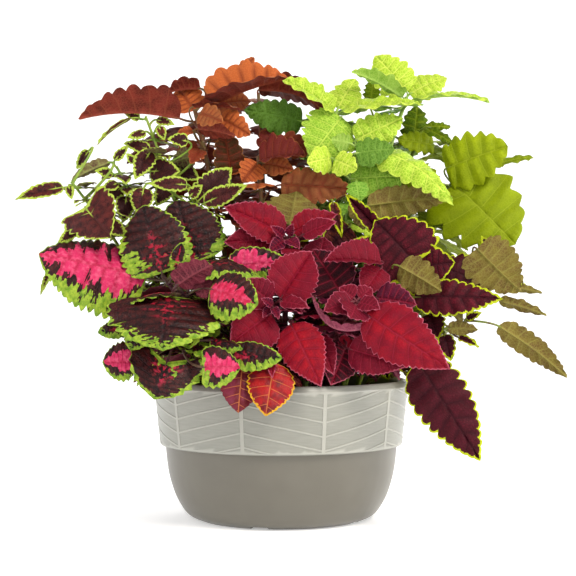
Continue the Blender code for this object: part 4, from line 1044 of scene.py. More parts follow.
def band_line(middle, relief):
    """One line of the band's herringbone, cut off at the band's foot and top."""
    def place(turn):
        height = middle + RIDGE_RISE * slat_rise(turn)
        inside = BAND_FOOT_HEIGHT + 1 < height < BAND_TOP_HEIGHT
        height = min(max(height, BAND_FOOT_HEIGHT + 1), BAND_TOP_HEIGHT)
        return band_radius(height) + (relief if inside else 0), height
    return place

def inner_outline():
    """The planter's inside from its rim down to its floor."""
    outline = [(BAND_FOOT_RADIUS - WALL, BAND_FOOT_HEIGHT + 3)]
    for radius, height in reversed(BODY_OUTLINE[2:]):
        outline.append((radius - WALL, height))
    return outline + [(104, FLOOR_THICKNESS)]

def planter_mesh():
    """The planter as one turned solid, with the herringbone ridges standing out of its band."""
    outline = [(0, 0), *BODY_OUTLINE, (BAND_FOOT_RADIUS - 1, BAND_FOOT_HEIGHT)]
    for k in range(RIDGES):
        middle = BAND_FOOT_HEIGHT + RIDGE_START + k * RIDGE_SPACING
        outline.append(band_line(middle - RIDGE_WIDTH, 0))
        outline.append(band_line(middle, RIDGE_RELIEF))
    outline += [*RIM_OUTLINE, *inner_outline(), (0, FLOOR_THICKNESS)]
    return turned(outline, even_turns(ROUND_SEGMENTS))

def soil_mesh():
    """The soil, which fills the planter nearly to its rim, with a lumpy top."""
    lumps = random.Random(SEED)
    inset, lift = SOIL_GAP
    outline = [(0, FLOOR_THICKNESS + lift)]
    outline += [(radius - inset, height + lift) for radius, height in reversed(inner_outline())]
    (low_radius, low), (high_radius, high) = inner_outline()[0], RIM_OUTLINE[-1]
    share = (SOIL_TOP - low) / (high - low)
    outline.append((low_radius + (high_radius - low_radius) * share - inset, SOIL_TOP))
    for radius in SOIL_RINGS:
        outline.append(lambda turn, radius=radius: (radius, SOIL_TOP - SOIL_LUMPS * lumps.random()))
    outline.append((0, SOIL_TOP))
    return turned(outline, even_turns(ROUND_SEGMENTS // 2))

walls = [kept(*planter_mesh()), kept(*soil_mesh())]
draw = random.Random(SEED)
shoots = SHOOTS + [full_shoot(*row, draw) for row in FAR_SHOOTS]
stems = planted_stems(shoots, walls[:1])
grown = planted_leaves(shoots, stems, walls)
print(sum(len(leaves) for leaves in grown.values()), "leaves on", len(stems), "stems")

# %% [markdown]
# Behind the leaves that show, a real planting is full of others, and they are why no daylight comes
# through its middle. Each stem grows rings of three of them from its top down to the soil. A leaf is
# kept where it crosses nothing, covers almost none of the leaves listed one by one, and shows
# nowhere outside the planting's own outline, all as they look from the front.

# %% Inner leaves
EYE = Vector((VIEW_ACROSS, -VIEW_DISTANCE, VIEW_HEIGHT)) * MM
PLANT_OUTLINE = (
    (-100, 158), (-140, 142), (-176, 152), (-208, 170), (-204, 206), (-200, 236), (-222, 246),
    (-252, 264), (-284, 304), (-262, 334), (-262, 360), (-262, 398), (-242, 425), (-222, 438),
    (-184, 440), (-150, 474), (-222, 484), (-208, 504), (-140, 508), (-130, 522), (-94, 526),
    (-40, 538), (10, 526), (52, 528), (92, 522), (112, 546), (150, 546), (194, 526), (206, 506),
    (168, 494), (182, 468), (206, 452), (238, 454), (266, 440), (262, 424), (290, 392),
    (282, 336), (278, 300), (270, 262), (238, 244), (196, 236), (204, 196), (222, 130),
    (196, 118), (152, 162), (48, 160), (-10, 140), (-48, 140),
)
INNER_GAP = 0.4
INNER_RINGS = (7, 15)
INNER_AROUND = 3
INNER_SIZE = (0.75, 1.15)
INNER_WIDTH = 0.72
INNER_TRIES = 12
INNER_SHRINK = 0.94
INNER_TURN = 1.17

def inside_outline(across, up):
    """True if a place, as it looks from the front, lies inside the planting's outline."""
    inside = False
    for (x1, y1), (x2, y2) in zip(PLANT_OUTLINE, PLANT_OUTLINE[1:] + PLANT_OUTLINE[:1]):
        if (y1 > up) != (y2 > up) and across < x1 + (up - y1) * (x2 - x1) / (y2 - y1):
            inside = not inside
    return inside

def front_tree():
    """One tree of the plain blades of all the shoots listed one by one."""
    verts, faces = [], []
    for _, blade, root in (leaf for shoot in SHOOTS for leaf in grown[shoot.name]):
        more, its_faces, blade_faces = leaf_mesh(blade, root)
        faces += [tuple(c + len(verts) for c in face) for face in its_faces[:blade_faces]]
        verts += more
    return BVHTree.FromPolygons(verts, faces)

def keeps_the_view(blade, front):
    """True if a blade hides almost none of the leaves listed one by one, and shows nowhere outside
    the outline.
    """
    covers = 0
    for along in (0.1, 0.4, 0.7, 1.0):
        for side in (-0.75, 0, 0.75):
            point = blade.point(along, side * blade.width_at(min(along, 0.95), 1))
            way = point - EYE
            _, _, _, reach = front.ray_cast(EYE, way.normalized())
            across, up, _ = seen(point / MM)
            if not inside_outline(across, up) and (reach is None or reach > way.length):
                return False
            covers += reach is not None and reach > way.length
    return covers <= (1 if blade.length > SMALL_LEAF * MM else 3)

def inner_leaves():
    """More leaves for every shoot, as (plan, blade, root), where they fit."""
    draw = random.Random(SEED + 5)
    low, high = (Vector(corner) for corner in cad_box)
    front = front_tree()
    placed = list(walls)
    found = {}
    for shoot in shoots:
        found[shoot.name] = []
        placed.append(kept(*stem_mesh(stems[shoot.name], shoot.thick)))
        for _, blade, root in grown[shoot.name]:
            verts, faces, blade_faces = leaf_mesh(blade, root)
            placed.append(kept(verts, faces[:blade_faces]))
    for shoot in shoots:
        points = stems[shoot.name]
        size = KINDS[shoot.kind].size
        room = (points[-1] - points[1]).length / MM / size / INNER_GAP
        rings = round(min(max(room, INNER_RINGS[0]), INNER_RINGS[1]))
        for ring in range(rings * INNER_AROUND):
            share = 1 - (ring // INNER_AROUND + 0.5) / rings
            place = share * STEM_STEPS
            at = points[1 + int(place)].lerp(points[2 + int(place)], place % 1) / MM
            for attempt in range(INNER_TRIES):
                length = size * draw.uniform(*INNER_SIZE) * INNER_SHRINK**attempt
                turn = ring * 2 * math.pi / INNER_AROUND * INNER_TURN
                turn += draw.uniform(-0.35, 0.35) * (1 + attempt)
                lift = math.radians(-4 - 42 * (1 - share) + draw.uniform(-18, 18))
                # Painted shade: inner leaves take tones only from the lower part of their kind's
                # scale, for most kinds its darker colours, because they stand in the planting's
                # shaded middle.
                plan = outward_leaf(at, turn, lift, length, INNER_WIDTH * length, 0.7 * draw.random())
                base, tip = spot(*plan.base), spot(*plan.tip)
                blade = Blade(KINDS[shoot.kind], plan, base, tip, plan.roll, draw.random())
                root = at * MM
                verts, faces, blade_faces = leaf_mesh(blade, root)
                tree, lowest, highest = kept(verts, faces[:blade_faces])
                inside = all(low[i] < v[i] < high[i] for v in verts for i in range(3))
                buried = min(v.z for v in verts) < SOIL_TOP * MM
                if not inside or buried or not keeps_the_view(blade, front):
                    continue
                if not any(tree.overlap(other) for other in close_to(lowest, highest, placed)):
                    placed.append((tree, lowest, highest))
                    found[shoot.name].append((plan, blade, root))
                    break
    return found

inner = inner_leaves()
print(sum(len(leaves) for leaves in inner.values()), "inner leaves")

# %% [markdown]
# The margin of a coleus leaf is its signature. Some kinds have round scallops, some have forward
# pointing saw teeth, and one has broad pointed ones. A tooth is described by where its point stands
# between two notches, and by a curve that is round near 2 and straight near 1. The rows of the fine
# mesh are laid so that a row falls on every notch and on every point.

# %% Teeth along the margin
FINE_ROW, COARSE_ROW = 1.7, 5.2

def tooth_rows(blade, fine, size, row):
    """Where rows start on the midrib, as a share of it, and how far out each one's end stands."""
    fit = min(1.15, max(0.5, blade.length / MM / size))
    count = max(4, round(fine.teeth * fit)) if fine.teeth > 6 else fine.teeth
    steps = 2 * max(1, min(5, round(blade.length / MM / count / row / 2)))
    rows = []
    for j in range(count):
        for k in range(steps):
            up = 2 * k / steps
            place = up * fine.lean if up < 1 else fine.lean + (up - 1) * (1 - fine.lean)
            out = up if up < 1 else 2 - up
            rows.append(((j + place) / count, 1 - (1 - out) ** fine.curve))
    return np.array(rows), count

print("a wine leaf has", FINE["wine"].teeth, "scallops a side")

# %% [markdown]
# Between its side veins a coleus leaf puffs up like a quilt, and the veins lie in the furrows. On the
# underside the same veins stand out as ribs. This relief is real geometry: a height for each point
# of the sheet, worked out from how near the point is to a vein. Only the finest net of veins is left
# to the material.

# %% Quilting and veins
CUSHION = 0.12
CELL_SIZE, CELL_RISE = 6.2, 0.45
FURROW_WIDTH, FURROW_DEPTH = 1.7, 0.9
FRILL_RISE = 1.4
SWAY = 0.03
RIB_WIDTH, RIB_RISE = 1.3, 1.1
SIDE_RIB_WIDTH, SIDE_RIB_RISE = 0.9, 0.35

def relief(blade, fine, t, number, reach, side, across, spacing, count):
    """Height of the upper face over the plain sheet, in metres, at each point of the grid."""
    between = np.sin(np.pi * number) ** 2
    big = min(1.0, 0.35 + blade.length / MM / 90)
    pillow = between * (4 * reach * (1 - reach)) ** 0.6 * CUSHION * spacing
    cells = np.sin(2 * np.pi * np.abs(across) / (CELL_SIZE * MM) + 2.4 * np.floor(number))
    cells = cells * CELL_RISE * MM * between * (1 - reach**4) * np.minimum(1, reach * 5)
    furrow = -FURROW_DEPTH * MM * np.exp(-((across / (FURROW_WIDTH * MM)) ** 2))
    frill = np.sin(np.pi * count * t + 7 * blade.phase + side) * reach**6
    frill = frill * fine.frill * FRILL_RISE * MM
    sway = np.sin(2 * np.pi * (0.9 * t + 3 * blade.phase)) * reach * side * SWAY * blade.half
    start = np.minimum(1, t * 12)
    return (fine.pucker * (pillow + cells) * big + furrow * big + frill + sway) * start

def ribs(blade, t, reach, across, gap):
    """How far the midrib and the side veins stand out of the underside."""
    middle = RIB_RISE * MM * np.exp(-((across / (RIB_WIDTH * MM)) ** 2)) * (1 - t) ** 0.7
    sides = SIDE_RIB_RISE * MM * np.exp(-((gap / (SIDE_RIB_WIDTH * MM)) ** 2)) * (1 - reach)
    return (middle + sides) * min(1.0, blade.length / MM / 60)

print("furrows are up to", FURROW_DEPTH, "mm deep")

# %% [markdown]
# The fine blade is a thin closed shell. An upper and a lower sheet of points share the margin, and
# each point also remembers where on the leaf it is: how far from the margin, how far from the
# midrib, which side vein is near. The materials read these memories as attributes, so a pale edge
# stays the same width all round, and a vein stays a vein, on every leaf of the kind.

# %% Fine blades
SHEET = 0.9
VEIN_STAGGER = 0.3
NOTCH_SPREAD = 0.32
LOBED = 0.15
STRIP = 2 * MM

def on_blade(blade, along, across, lift):
    """Points of the blade's surface for whole grids of flat places."""
    grids = np.broadcast_arrays(along, across, lift)
    places = zip(*(grid.ravel().tolist() for grid in grids))
    return np.array([blade.point(*place)[:] for place in places]).reshape(*grids[0].shape, 3)

def columns(blade, row):
    """Signed places across the blade, from -1 to 1, closer together by the midrib and the margin."""
    count = max(3, min(13, round(blade.half / MM / row / 1.76)))
    side = [math.sin(math.pi / 2 * (k / count) ** 1.08) for k in range(1, count + 1)]
    side.insert(0, side[0] * 0.4)
    return np.array([-s for s in reversed(side)] + [0.0] + side)

def both_sheets(upper, tip, lower=None):
    """A grid's values on the upper sheet, those on the lower one inside its margin, and the tip's."""
    lower = (upper if lower is None else lower)[1:, 1:-1]
    rest = upper.shape[2:]
    return np.concatenate([upper.reshape(-1, *rest), lower.reshape(-1, *rest), [tip]])

def fine_blade(blade, fine, size, tone, luck, row):
    """Vertices, faces and marks of one fine blade. Each face is (corners, 0 above or 1 below)."""
    rows, count = tooth_rows(blade, fine, size, row)
    ends = [blade.margin(t, 1) + blade.margin(t, tooth)[1:] for t, tooth in rows]
    end, full, notched = np.array(ends).T
    cut = (full - notched) * fine.bite / blade.kind.bite
    s = columns(blade, row)
    reach, side = np.abs(s)[None, :], np.sign(s)[None, :]
    t = rows[:, :1]
    uneven = np.sin(5.3 * np.floor(t * count) + 2 * side + 9 * blade.phase)
    cut = cut[:, None] * (1 + NOTCH_SPREAD * uneven)
    along = t + (end[:, None] - t) * reach**1.2
    across = side * (full[:, None] * reach - cut * reach**5)
    spacing = blade.length / fine.veins
    number = t * fine.veins + np.where(side > 0, 0.0, VEIN_STAGGER)
    gap = np.abs(number - np.round(number)) * spacing
    height = relief(blade, fine, t, number, reach, side, across, spacing, count)
    thick = SHEET * MM * (1 - reach**6) * min(1, blade.length / MM / 45)
    upper = on_blade(blade, along, across, height)
    lower = on_blade(blade, along, across, height - thick - ribs(blade, t, reach, across, gap))
    tip = on_blade(blade, np.array([1.0]), np.array([0.0]), np.array([0.0]))
    rows_n, cols_n = upper.shape[:2]
    verts = both_sheets(upper, tip[0], lower)
    top = np.arange(rows_n * cols_n).reshape(rows_n, cols_n)
    low = top.copy()
    under = np.arange((rows_n - 1) * (cols_n - 2)).reshape(rows_n - 1, -1)
    low[1:, 1:-1] = rows_n * cols_n + under
    point = len(verts) - 1
    faces = []
    for layer, grid in enumerate((top, low)):
        a, b, c, d = grid[:-1, :-1], grid[1:, :-1], grid[1:, 1:], grid[:-1, 1:]
        order = (a, b, c, d) if layer == 0 else (a, d, c, b)
        faces += [(quad, layer) for quad in np.stack(order, -1).reshape(-1, 4).tolist()]
        last = grid[-1].tolist()
        for one, two in zip(last, last[1:]):
            faces.append(([one, point, two] if layer == 0 else [one, two, point], layer))
    flat = np.ones_like(along)
    length, half = blade.length / MM, blade.half / MM
    rise = upper[:, :, 2]
    edge = np.maximum(0, full[:, None] - cut - np.abs(across)) / MM
    if blade.heart > LOBED:
        strip = np.round(across / STRIP).astype(int)
        strip -= strip.min()
        back = np.full(strip.max() + 1, np.inf)
        np.minimum.at(back, strip, along)
        behind = (along - back[strip]) * length
        edge = np.minimum(edge, behind + 40 * np.maximum(0, 0.2 - reach))
    marks = {
        "edge": edge,
        "share": t * flat,
        "reach": reach * flat,
        "middle": np.abs(across) / MM,
        "vein": number * flat * spacing / MM,
        "spacing": flat * spacing / MM,
        "tone": flat * tone,
        "luck": flat * luck,
        "low": (rise.max() - rise) / (rise.max() - rise.min()),
    }
    signed = reach * side * flat * half
    places = {
        "flat": np.stack([along * length, across / MM, flat * luck * 90], -1),
        "streak": np.stack([t * flat * length, signed * 0.22, flat * luck * 70], -1),
    }
    at_tip = {"share": 1.0, "edge": 0.0, "reach": 0.0, "middle": 0.0}
    table = {name: both_sheets(grid, at_tip.get(name, grid[-1, -1])) for name, grid in marks.items()}
    for name, grid in places.items():
        table[name] = both_sheets(grid, grid[-1, cols_n // 2])
    return verts, faces, table

print("a blade's sheet is", SHEET, "mm thick")

# %% [markdown]
# A leaf stalk leaves the blade straight, then bends to its stem on a smooth curve. It is a slim tube
# drawn on the same curve as the solid one. Stems are tubes too, square with soft corners, and they
# swell a little where a leaf grows.

# %% Stalks and stems
STALK_RINGS = 6
STALK_SIDES = 6
STEM_RINGS = 22
STEM_SIDES = 12

def tube(centres, radii, first_side, sides, square=0.0):
    """A closed tube along centre points, its frame carried along so that it never twists."""
    last = len(centres) - 1
    verts = []
    facing = (centres[1] - centres[0]).normalized()
    across = (first_side - facing * first_side.dot(facing)).normalized()
    for k, centre in enumerate(centres):
        towards = (centres[min(k + 1, last)] - centres[max(k - 1, 0)]).normalized()
        across = facing.rotation_difference(towards) @ across
        facing = towards
        upward = facing.cross(across)
        for angle in angles_round(sides):
            radius = radii[k] * (1 + square * math.cos(4 * angle))
            verts.append(centre + (across * math.cos(angle) + upward * math.sin(angle)) * radius)
    faces = [list(range(sides))[::-1], list(range(last * sides, (last + 1) * sides))]
    for k in range(last):
        for m in range(sides):
            a, b = k * sides + m, k * sides + (m + 1) % sides
            faces.append([a, b, b + sides, a + sides])
    return np.array([v[:] for v in verts]), [(face, 2) for face in faces]

def stalk_tube(blade, root):
    """The stalk of one leaf, from a little way up the blade's underside to the stem."""
    start, knee, _, upward = stalk_line(blade, root)
    thin = blade.stalk * (1.5 if blade.length < SMALL_LEAF * MM else 0.95)
    drop = blade.stalk if blade.heart > HEART_SHAPED else 0.2 * MM
    centres = [blade.point(0.07, 0, -MM), start - upward * drop]
    centres += [bend(start, knee, root, k / STALK_RINGS) for k in range(1, STALK_RINGS + 1)]
    radii = [thin * 0.45] + [thin * (0.85 + 0.15 * k / STALK_RINGS) for k in range(STALK_RINGS + 1)]
    radii[-1] *= 1.25
    return tube(centres, radii, blade.left, STALK_SIDES)

def smooth_line(points, steps):
    """A smooth line through points, in a number of steps."""
    line = []
    last = len(points) - 1
    for k in range(steps + 1):
        place = k / steps * last
        i = min(int(place), last - 1)
        p0, p1, p2, p3 = (points[max(0, min(last, i + d))] for d in (-1, 0, 1, 2))
        f = place - i
        bent = (2 * p0 - 5 * p1 + 4 * p2 - p3) * f**2 + (3 * p1 - p0 - 3 * p2 + p3) * f**3
        line.append(0.5 * (2 * p1 + (p2 - p0) * f + bent))
    return line

def stem_tube(shoot, points, roots):
    """The square stem of a shoot, swollen where its leaves grow."""
    line = smooth_line(points, STEM_RINGS)
    radii = []
    for k, centre in enumerate(line):
        share = k / STEM_RINGS
        radius = shoot.thick * MM * (STEM_TAPER[0] + (STEM_TAPER[1] - STEM_TAPER[0]) * share) * 0.92
        near = min(((centre - root).length for root in roots), default=1.0)
        radii.append(radius * (1 + 0.18 * math.exp(-((near / (5 * MM)) ** 2))))
    return tube(line, radii, Vector((1, 0, 0)), STEM_SIDES, square=0.07)

print("tubes of", STALK_SIDES, "and", STEM_SIDES, "sides")

# %% [markdown]
# Shader nodes read more easily as a few short words than as a page of links. This small class mixes
# one material: each of its methods adds one node and hands back that node's output, so a pattern can
# be written almost as a sentence.

# %% A mixer for materials
class Mixer:
    """One Principled material while it is being mixed."""

    def __init__(self, name, roughness, gloss=0.2):
        self.material = bpy.data.materials.new(name)
        self.material.use_nodes = True
        self.nodes = self.material.node_tree.nodes
        self.links = self.material.node_tree.links
        self.shader = self.nodes["Principled BSDF"]
        self.shader.inputs["Roughness"].default_value = roughness
        self.shader.inputs["Specular IOR Level"].default_value = gloss

    def feed(self, socket, value):
        if isinstance(value, bpy.types.NodeSocket):
            self.links.new(value, socket)
        elif isinstance(value, str):
            socket.default_value = colour(value)
        else:
            socket.default_value = value

    def mark(self, name, output="Fac"):
        """What a point of the mesh remembers under a name."""
        node = self.nodes.new("ShaderNodeAttribute")
        node.attribute_name = name
        return node.outputs[output]

    def calc(self, operation, *values):
        node = self.nodes.new("ShaderNodeMath")
        node.operation = operation
        for socket, value in zip(node.inputs, values):
            self.feed(socket, value)
        return node.outputs[0]

    def scaled(self, value, by, plus=0.0):
        return self.calc("MULTIPLY_ADD", value, by, plus)

    def most(self, one, other):
        return self.calc("MAXIMUM", one, other)

    def step(self, value, low, high):
        """0 under low, 1 over high and smooth between. It falls instead where low is the larger."""
        node = self.nodes.new("ShaderNodeMapRange")
        node.interpolation_type = "SMOOTHSTEP"
        rising = low < high
        self.feed(node.inputs["Value"], value)
        self.feed(node.inputs["From Min"], low if rising else high)
        self.feed(node.inputs["From Max"], high if rising else low)
        node.inputs["To Min"].default_value = 0.0 if rising else 1.0
        node.inputs["To Max"].default_value = 1.0 if rising else 0.0
        return node.outputs["Result"]

    def noise(self, place, size, detail=2.0):
        """Soft noise with patches of a size, in the units of place."""
        node = self.nodes.new("ShaderNodeTexNoise")
        self.links.new(place, node.inputs["Vector"])
        node.inputs["Scale"].default_value = 1 / size
        node.inputs["Detail"].default_value = detail
        return node.outputs["Fac"]

    def patches(self, size, detail=3):
        """Noise over the flat leaf, with patches of a size in millimetres."""
        return self.noise(self.mark("flat", "Vector"), size, detail)

    def streaks(self, size, detail):
        """Noise that is stretched along the side veins."""
        return self.noise(self.mark("streak", "Vector"), size, detail)

    def net(self, place, size):
        """Distance from the walls of a net of cells: 0 on a wall."""
        node = self.nodes.new("ShaderNodeTexVoronoi")
        node.feature = "DISTANCE_TO_EDGE"
        self.links.new(place, node.inputs["Vector"])
        node.inputs["Scale"].default_value = 1 / size
        return node.outputs["Distance"]

    def blend(self, share, one, other):
        """Colour one where share is 0 and the other where it is 1."""
        node = self.nodes.new("ShaderNodeMix")
        node.data_type = "RGBA"
        self.feed(node.inputs[0], share)
        self.feed(node.inputs[6], one)
        self.feed(node.inputs[7], other)
        return node.outputs[2]

    def tint(self, shade, share, other, most):
        """The shade, turned towards another colour by most where share is 1."""
        return self.blend(self.scaled(share, most), shade, other)

    def mottled(self, one, other, size, low=0.3, high=0.7, detail=3):
        """Colour one with soft patches of the other."""
        return self.blend(self.step(self.patches(size, detail), low, high), one, other)

    def ramp(self, value, *stops):
        """A colour read from a scale of (place, colour) stops."""
        node = self.nodes.new("ShaderNodeValToRGB")
        scale = node.color_ramp.elements
        while len(scale) < len(stops):
            scale.new(0.5)
        for element, (place, code) in zip(scale, stops):
            element.position = place
            element.color = colour(code)
        self.feed(node.inputs[0], value)
        return node.outputs[0]

    def done(self, shade, height, depth):
        """Paint the colour and press the height into the surface, depth millimetres at most."""
        self.feed(self.shader.inputs["Base Color"], shade)
        bump = self.nodes.new("ShaderNodeBump")
        bump.inputs["Strength"].default_value = 0.7
        bump.inputs["Distance"].default_value = depth * MM
        self.links.new(height, bump.inputs["Height"])
        self.links.new(bump.outputs["Normal"], self.shader.inputs["Normal"])
        return self.material

    def quilt(self, shade, cells, large, depth, soft=0.3):
        """Paint the colour, with small cushions between sunken veins."""
        return self.done(shade, self.calc("SUBTRACT", self.step(cells, 0.0, soft), large), depth)

print("mixer ready")

# %% [markdown]
# Every kind shares the same anatomy, so one function finds the masks: a line along the midrib, lines
# along the side veins that thin out towards the margin, and a fine net between them. A second one
# paints the paler, rib-marked underside that all the kinds have.

# %% Veins and undersides
def vein_masks(mix, wide=1.0, cell=3.6):
    """Masks that are 1 on the large veins and on the fine net, and the net's raw distance."""
    ping = mix.calc("PINGPONG", mix.mark("vein"), mix.scaled(mix.mark("spacing"), 0.5))
    thin = mix.scaled(mix.mark("reach"), -0.55 * wide, 0.8 * wide)
    side = mix.step(mix.calc("DIVIDE", ping, thin), 1.2, 0.5)
    middle = mix.step(mix.mark("middle"), 1.3 * wide, 0.5 * wide)
    cells = mix.net(mix.mark("flat", "Vector"), cell)
    return mix.most(side, middle), mix.step(cells, 0.11, 0.02), cells

def upper_face(kind, roughness, gloss, wide, cell):
    """The start of an upper face: its mixer, its two vein masks and its net."""
    mix = Mixer(f"{kind}_upper_face", roughness, gloss)
    return mix, *vein_masks(mix, wide, cell)

def furrow_shade(mix, shade, deep, most):
    """Painted shade: a colour that deepens into the furrow along every side vein and along the
    midrib, where shade falls.
    """
    spacing = mix.mark("spacing")
    ping = mix.calc("PINGPONG", mix.mark("vein"), mix.scaled(spacing, 0.5))
    furrow = mix.step(mix.calc("DIVIDE", ping, spacing), 0.3, 0.0)
    furrow = mix.scaled(furrow, mix.step(mix.mark("reach"), 1.0, 0.45))
    midrib_shade = mix.step(mix.mark("middle"), 4.0, 0.5)
    return mix.tint(shade, mix.most(furrow, midrib_shade), deep, most)

def underside(kind, base, vein, blotch):
    """The underside of a kind's leaves: matt, paler, with raised veins."""
    mix = Mixer(f"{kind}_under_face", 0.6, 0.12)
    large, net, _ = vein_masks(mix, 1.5, 3.2)
    shade = mix.mottled(base, blotch, 14, 0.35, 0.68)
    shade = mix.tint(shade, net, vein, 0.45)
    shade = mix.tint(shade, large, vein, 0.4)
    return mix.done(shade, mix.most(large, mix.scaled(net, 0.6)), 0.4)

def stalk_skin(kind, base, blotch):
    """The skin of stems and stalks: faintly streaked and a little glossy."""
    mix = Mixer(f"{kind}_stalk_skin", 0.45, 0.25)
    place = mix.nodes.new("ShaderNodeTexCoord").outputs["Object"]
    shade = mix.blend(mix.step(mix.noise(place, 0.011, 3), 0.38, 0.66), base, blotch)
    return mix.done(shade, mix.noise(place, 0.0016, 2), 0.2)

print("vein masks ready")

# %% [markdown]
# The quilted mosaic leaves are nearly black-brown with a broad lime margin. The lime breaks up into
# blocks between the veins, because colour in such a leaf ends cell by cell, and noise stretched
# along the veins draws that. Some leaves have a hot pink heart, others only a red star.

# %% Mosaic leaves
def mosaic_upper():
    mix, large, _, cells = upper_face("mosaic", 0.42, 0.2, 0.9, 3.4)
    broad = vein_masks(mix, 3.2)[0]
    streak, flames, blocks = mix.streaks(3.4, 2), mix.streaks(8.0, 3), mix.patches(5.0)
    tone, reach, share = (mix.mark(name) for name in ("tone", "reach", "share"))
    low = mix.step(mix.mark("low"), 0.3, 0.85)
    mottle = mix.step(blocks, 0.3, 0.7)
    dark = furrow_shade(mix, mix.blend(mottle, "1E090A", "431614"), "0E0405", 0.7)
    lime = furrow_shade(mix, mix.blend(mottle, "668A1E", "9CB236"), "46701A", 0.45)
    band = mix.scaled(mix.scaled(streak, 5.2, -1.55), mix.scaled(low, 1.45, 0.12))
    band = mix.scaled(mix.calc("SUBTRACT", blocks, 0.5), mix.scaled(low, 1.6), band)
    outer = mix.calc("DIVIDE", mix.mark("edge"), mix.mark("spacing"))
    outer = mix.calc("SUBTRACT", outer, mix.most(band, 0.11))
    heart = mix.calc("SUBTRACT", mix.scaled(mix.calc("POWER", tone, 1.6), 0.76), reach)
    heart = mix.scaled(mix.calc("SUBTRACT", flames, 0.5), mix.scaled(tone, 1.5, 0.3), heart)
    heart = mix.scaled(mix.calc("SUBTRACT", streak, 0.5), 0.5, heart)
    heart = mix.scaled(low, -0.3, mix.scaled(share, -0.25, heart))
    near = mix.scaled(share, 1.1, reach)
    star = mix.scaled(mix.step(near, 0.85, 0.4), broad)
    star = mix.scaled(star, mix.step(blocks, 0.44, 0.56))
    star = mix.most(star, mix.step(near, 0.14, 0.06))
    pink = mix.ramp(tone, (0.0, "940E1C"), (0.45, "A81024"), (0.8, "BE1E48"), (1.0, "C8285A"))
    pink = furrow_shade(mix, pink, "9C1030", 0.6)
    pink = mix.blend(mix.scaled(mix.step(blocks, 0.4, 0.8), tone), pink, "DC5478")
    shade = mix.blend(mix.most(mix.step(heart, 0.0, 0.06), star), dark, pink)
    shade = mix.blend(mix.step(outer, 0.05, -0.03), shade, lime)
    return mix.quilt(shade, cells, large, 0.45)

print(mosaic_upper.__name__)

# %% [markdown]
# Crimson leaves are velvet: deep magenta red, brighter along the midrib, with a thin pale seam along
# the saw teeth. Young leaves at a shoot's tip are plum purple, so their tone is low.

# %% Crimson leaves
def crimson_upper():
    mix, large, net, cells = upper_face("crimson", 0.5, 0.1, 0.9, 2.8)
    tone = mix.mark("tone")
    base = mix.ramp(tone, (0.0, "2E0712"), (0.14, "46102E"), (0.3, "680B20"), (0.6, "7A0C22"),
                    (1.0, "94101F"))
    deep = mix.ramp(tone, (0.0, "1C040C"), (0.14, "2E0A24"), (0.3, "5A0A20"), (1.0, "7C0C20"))
    shade = mix.mottled(base, deep, 11, 0.32, 0.68)
    glow = mix.scaled(mix.step(mix.mark("reach"), 0.55, 0.0), mix.step(tone, 0.35, 0.9))
    shade = furrow_shade(mix, mix.tint(shade, glow, "B40E1C", 0.4), "5C0716", 0.55)
    shade = mix.tint(shade, net, "5E0818", 0.3)
    shade = mix.tint(shade, large, "A82844", 0.3)
    shade = mix.tint(shade, mix.step(mix.mark("edge"), 1.1, 0.3), "B4566A", 0.75)
    return mix.quilt(shade, cells, large, 0.4)

print(crimson_upper.__name__)

# %% [markdown]
# Wine leaves are burgundy, darker along every vein, and their scallops are edged in bright lime
# yellow. The line's inner side is nibbled by noise, as if the colour had run a little.

# %% Wine leaves
def wine_upper():
    mix, large, net, cells = upper_face("wine", 0.5, 0.1, 1.0, 3.0)
    base = mix.ramp(mix.mark("tone"), (0.0, "420E1A"), (0.4, "5C1220"), (1.0, "7A3A20"))
    shade = furrow_shade(mix, mix.mottled(base, "3E0B14", 9), "2A0710", 0.6)
    shade = mix.tint(shade, mix.most(large, net), "2E0812", 0.55)
    line = mix.scaled(mix.patches(1.6, 2), -2.6, mix.mark("edge"))
    shade = mix.blend(mix.step(line, 0.75, 0.25), shade, "AFBB1E")
    return mix.quilt(shade, cells, large, 0.45)

print(wine_upper.__name__)

# %% [markdown]
# The small edged leaves are dark maroon with a narrow lime rim, and lime runs from the stalk a little
# way up the veins, like a star. Spikes of lime reach in from the rim between the teeth.

# %% Edged leaves
def edged_upper():
    mix, large, net, cells = upper_face("edged", 0.45, 0.12, 0.8, 2.2)
    base = mix.ramp(mix.mark("tone"), (0.0, "301016"), (0.5, "4C1A1C"), (1.0, "6A2A22"))
    shade = furrow_shade(mix, mix.mottled(base, "2A0E14", 5, 0.35), "1C080C", 0.5)
    shade = mix.tint(shade, net, "6E3A2A", 0.35)
    near = mix.scaled(mix.mark("share"), 1.8, mix.mark("reach"))
    star = mix.most(mix.step(near, 0.2, 0.06), mix.scaled(large, mix.step(near, 0.62, 0.3)))
    line = mix.scaled(mix.streaks(1.3, 1), -5.4, mix.mark("edge"))
    rim = mix.most(mix.step(line, -0.35, -0.75), mix.step(mix.mark("edge"), 1.7, 1.1))
    shade = mix.blend(mix.most(star, rim), shade, "A6BA46")
    return mix.quilt(shade, cells, large, 0.3)

print(edged_upper.__name__)

# %% [markdown]
# Rust leaves run from burnt orange on the young top leaves, through brick and maroon, to olive brown
# on the old ones. Tone picks a place on that scale.

# %% Rust leaves
def rust_upper():
    mix, large, net, cells = upper_face("rust", 0.5, 0.1, 0.9, 2.8)
    scale = mix.scaled(mix.calc("SUBTRACT", mix.patches(10), 0.5), 0.28, mix.mark("tone"))
    base = mix.ramp(scale, (0.0, "BC6230"), (0.22, "AC562A"), (0.38, "8A5430"), (0.5, "7C3420"),
                    (0.72, "66241E"), (0.9, "5E1E1C"), (1.0, "3E2A10"))
    shade = furrow_shade(mix, base, "5A2216", 0.55)
    shade = mix.tint(shade, net, "7A2E1C", 0.3)
    shade = mix.tint(shade, large, "8E3A22", 0.35)
    shade = mix.tint(shade, mix.step(mix.mark("edge"), 1.4, 0.3), "B4703C", 0.45)
    return mix.quilt(shade, cells, large, 0.45)

print(rust_upper.__name__)

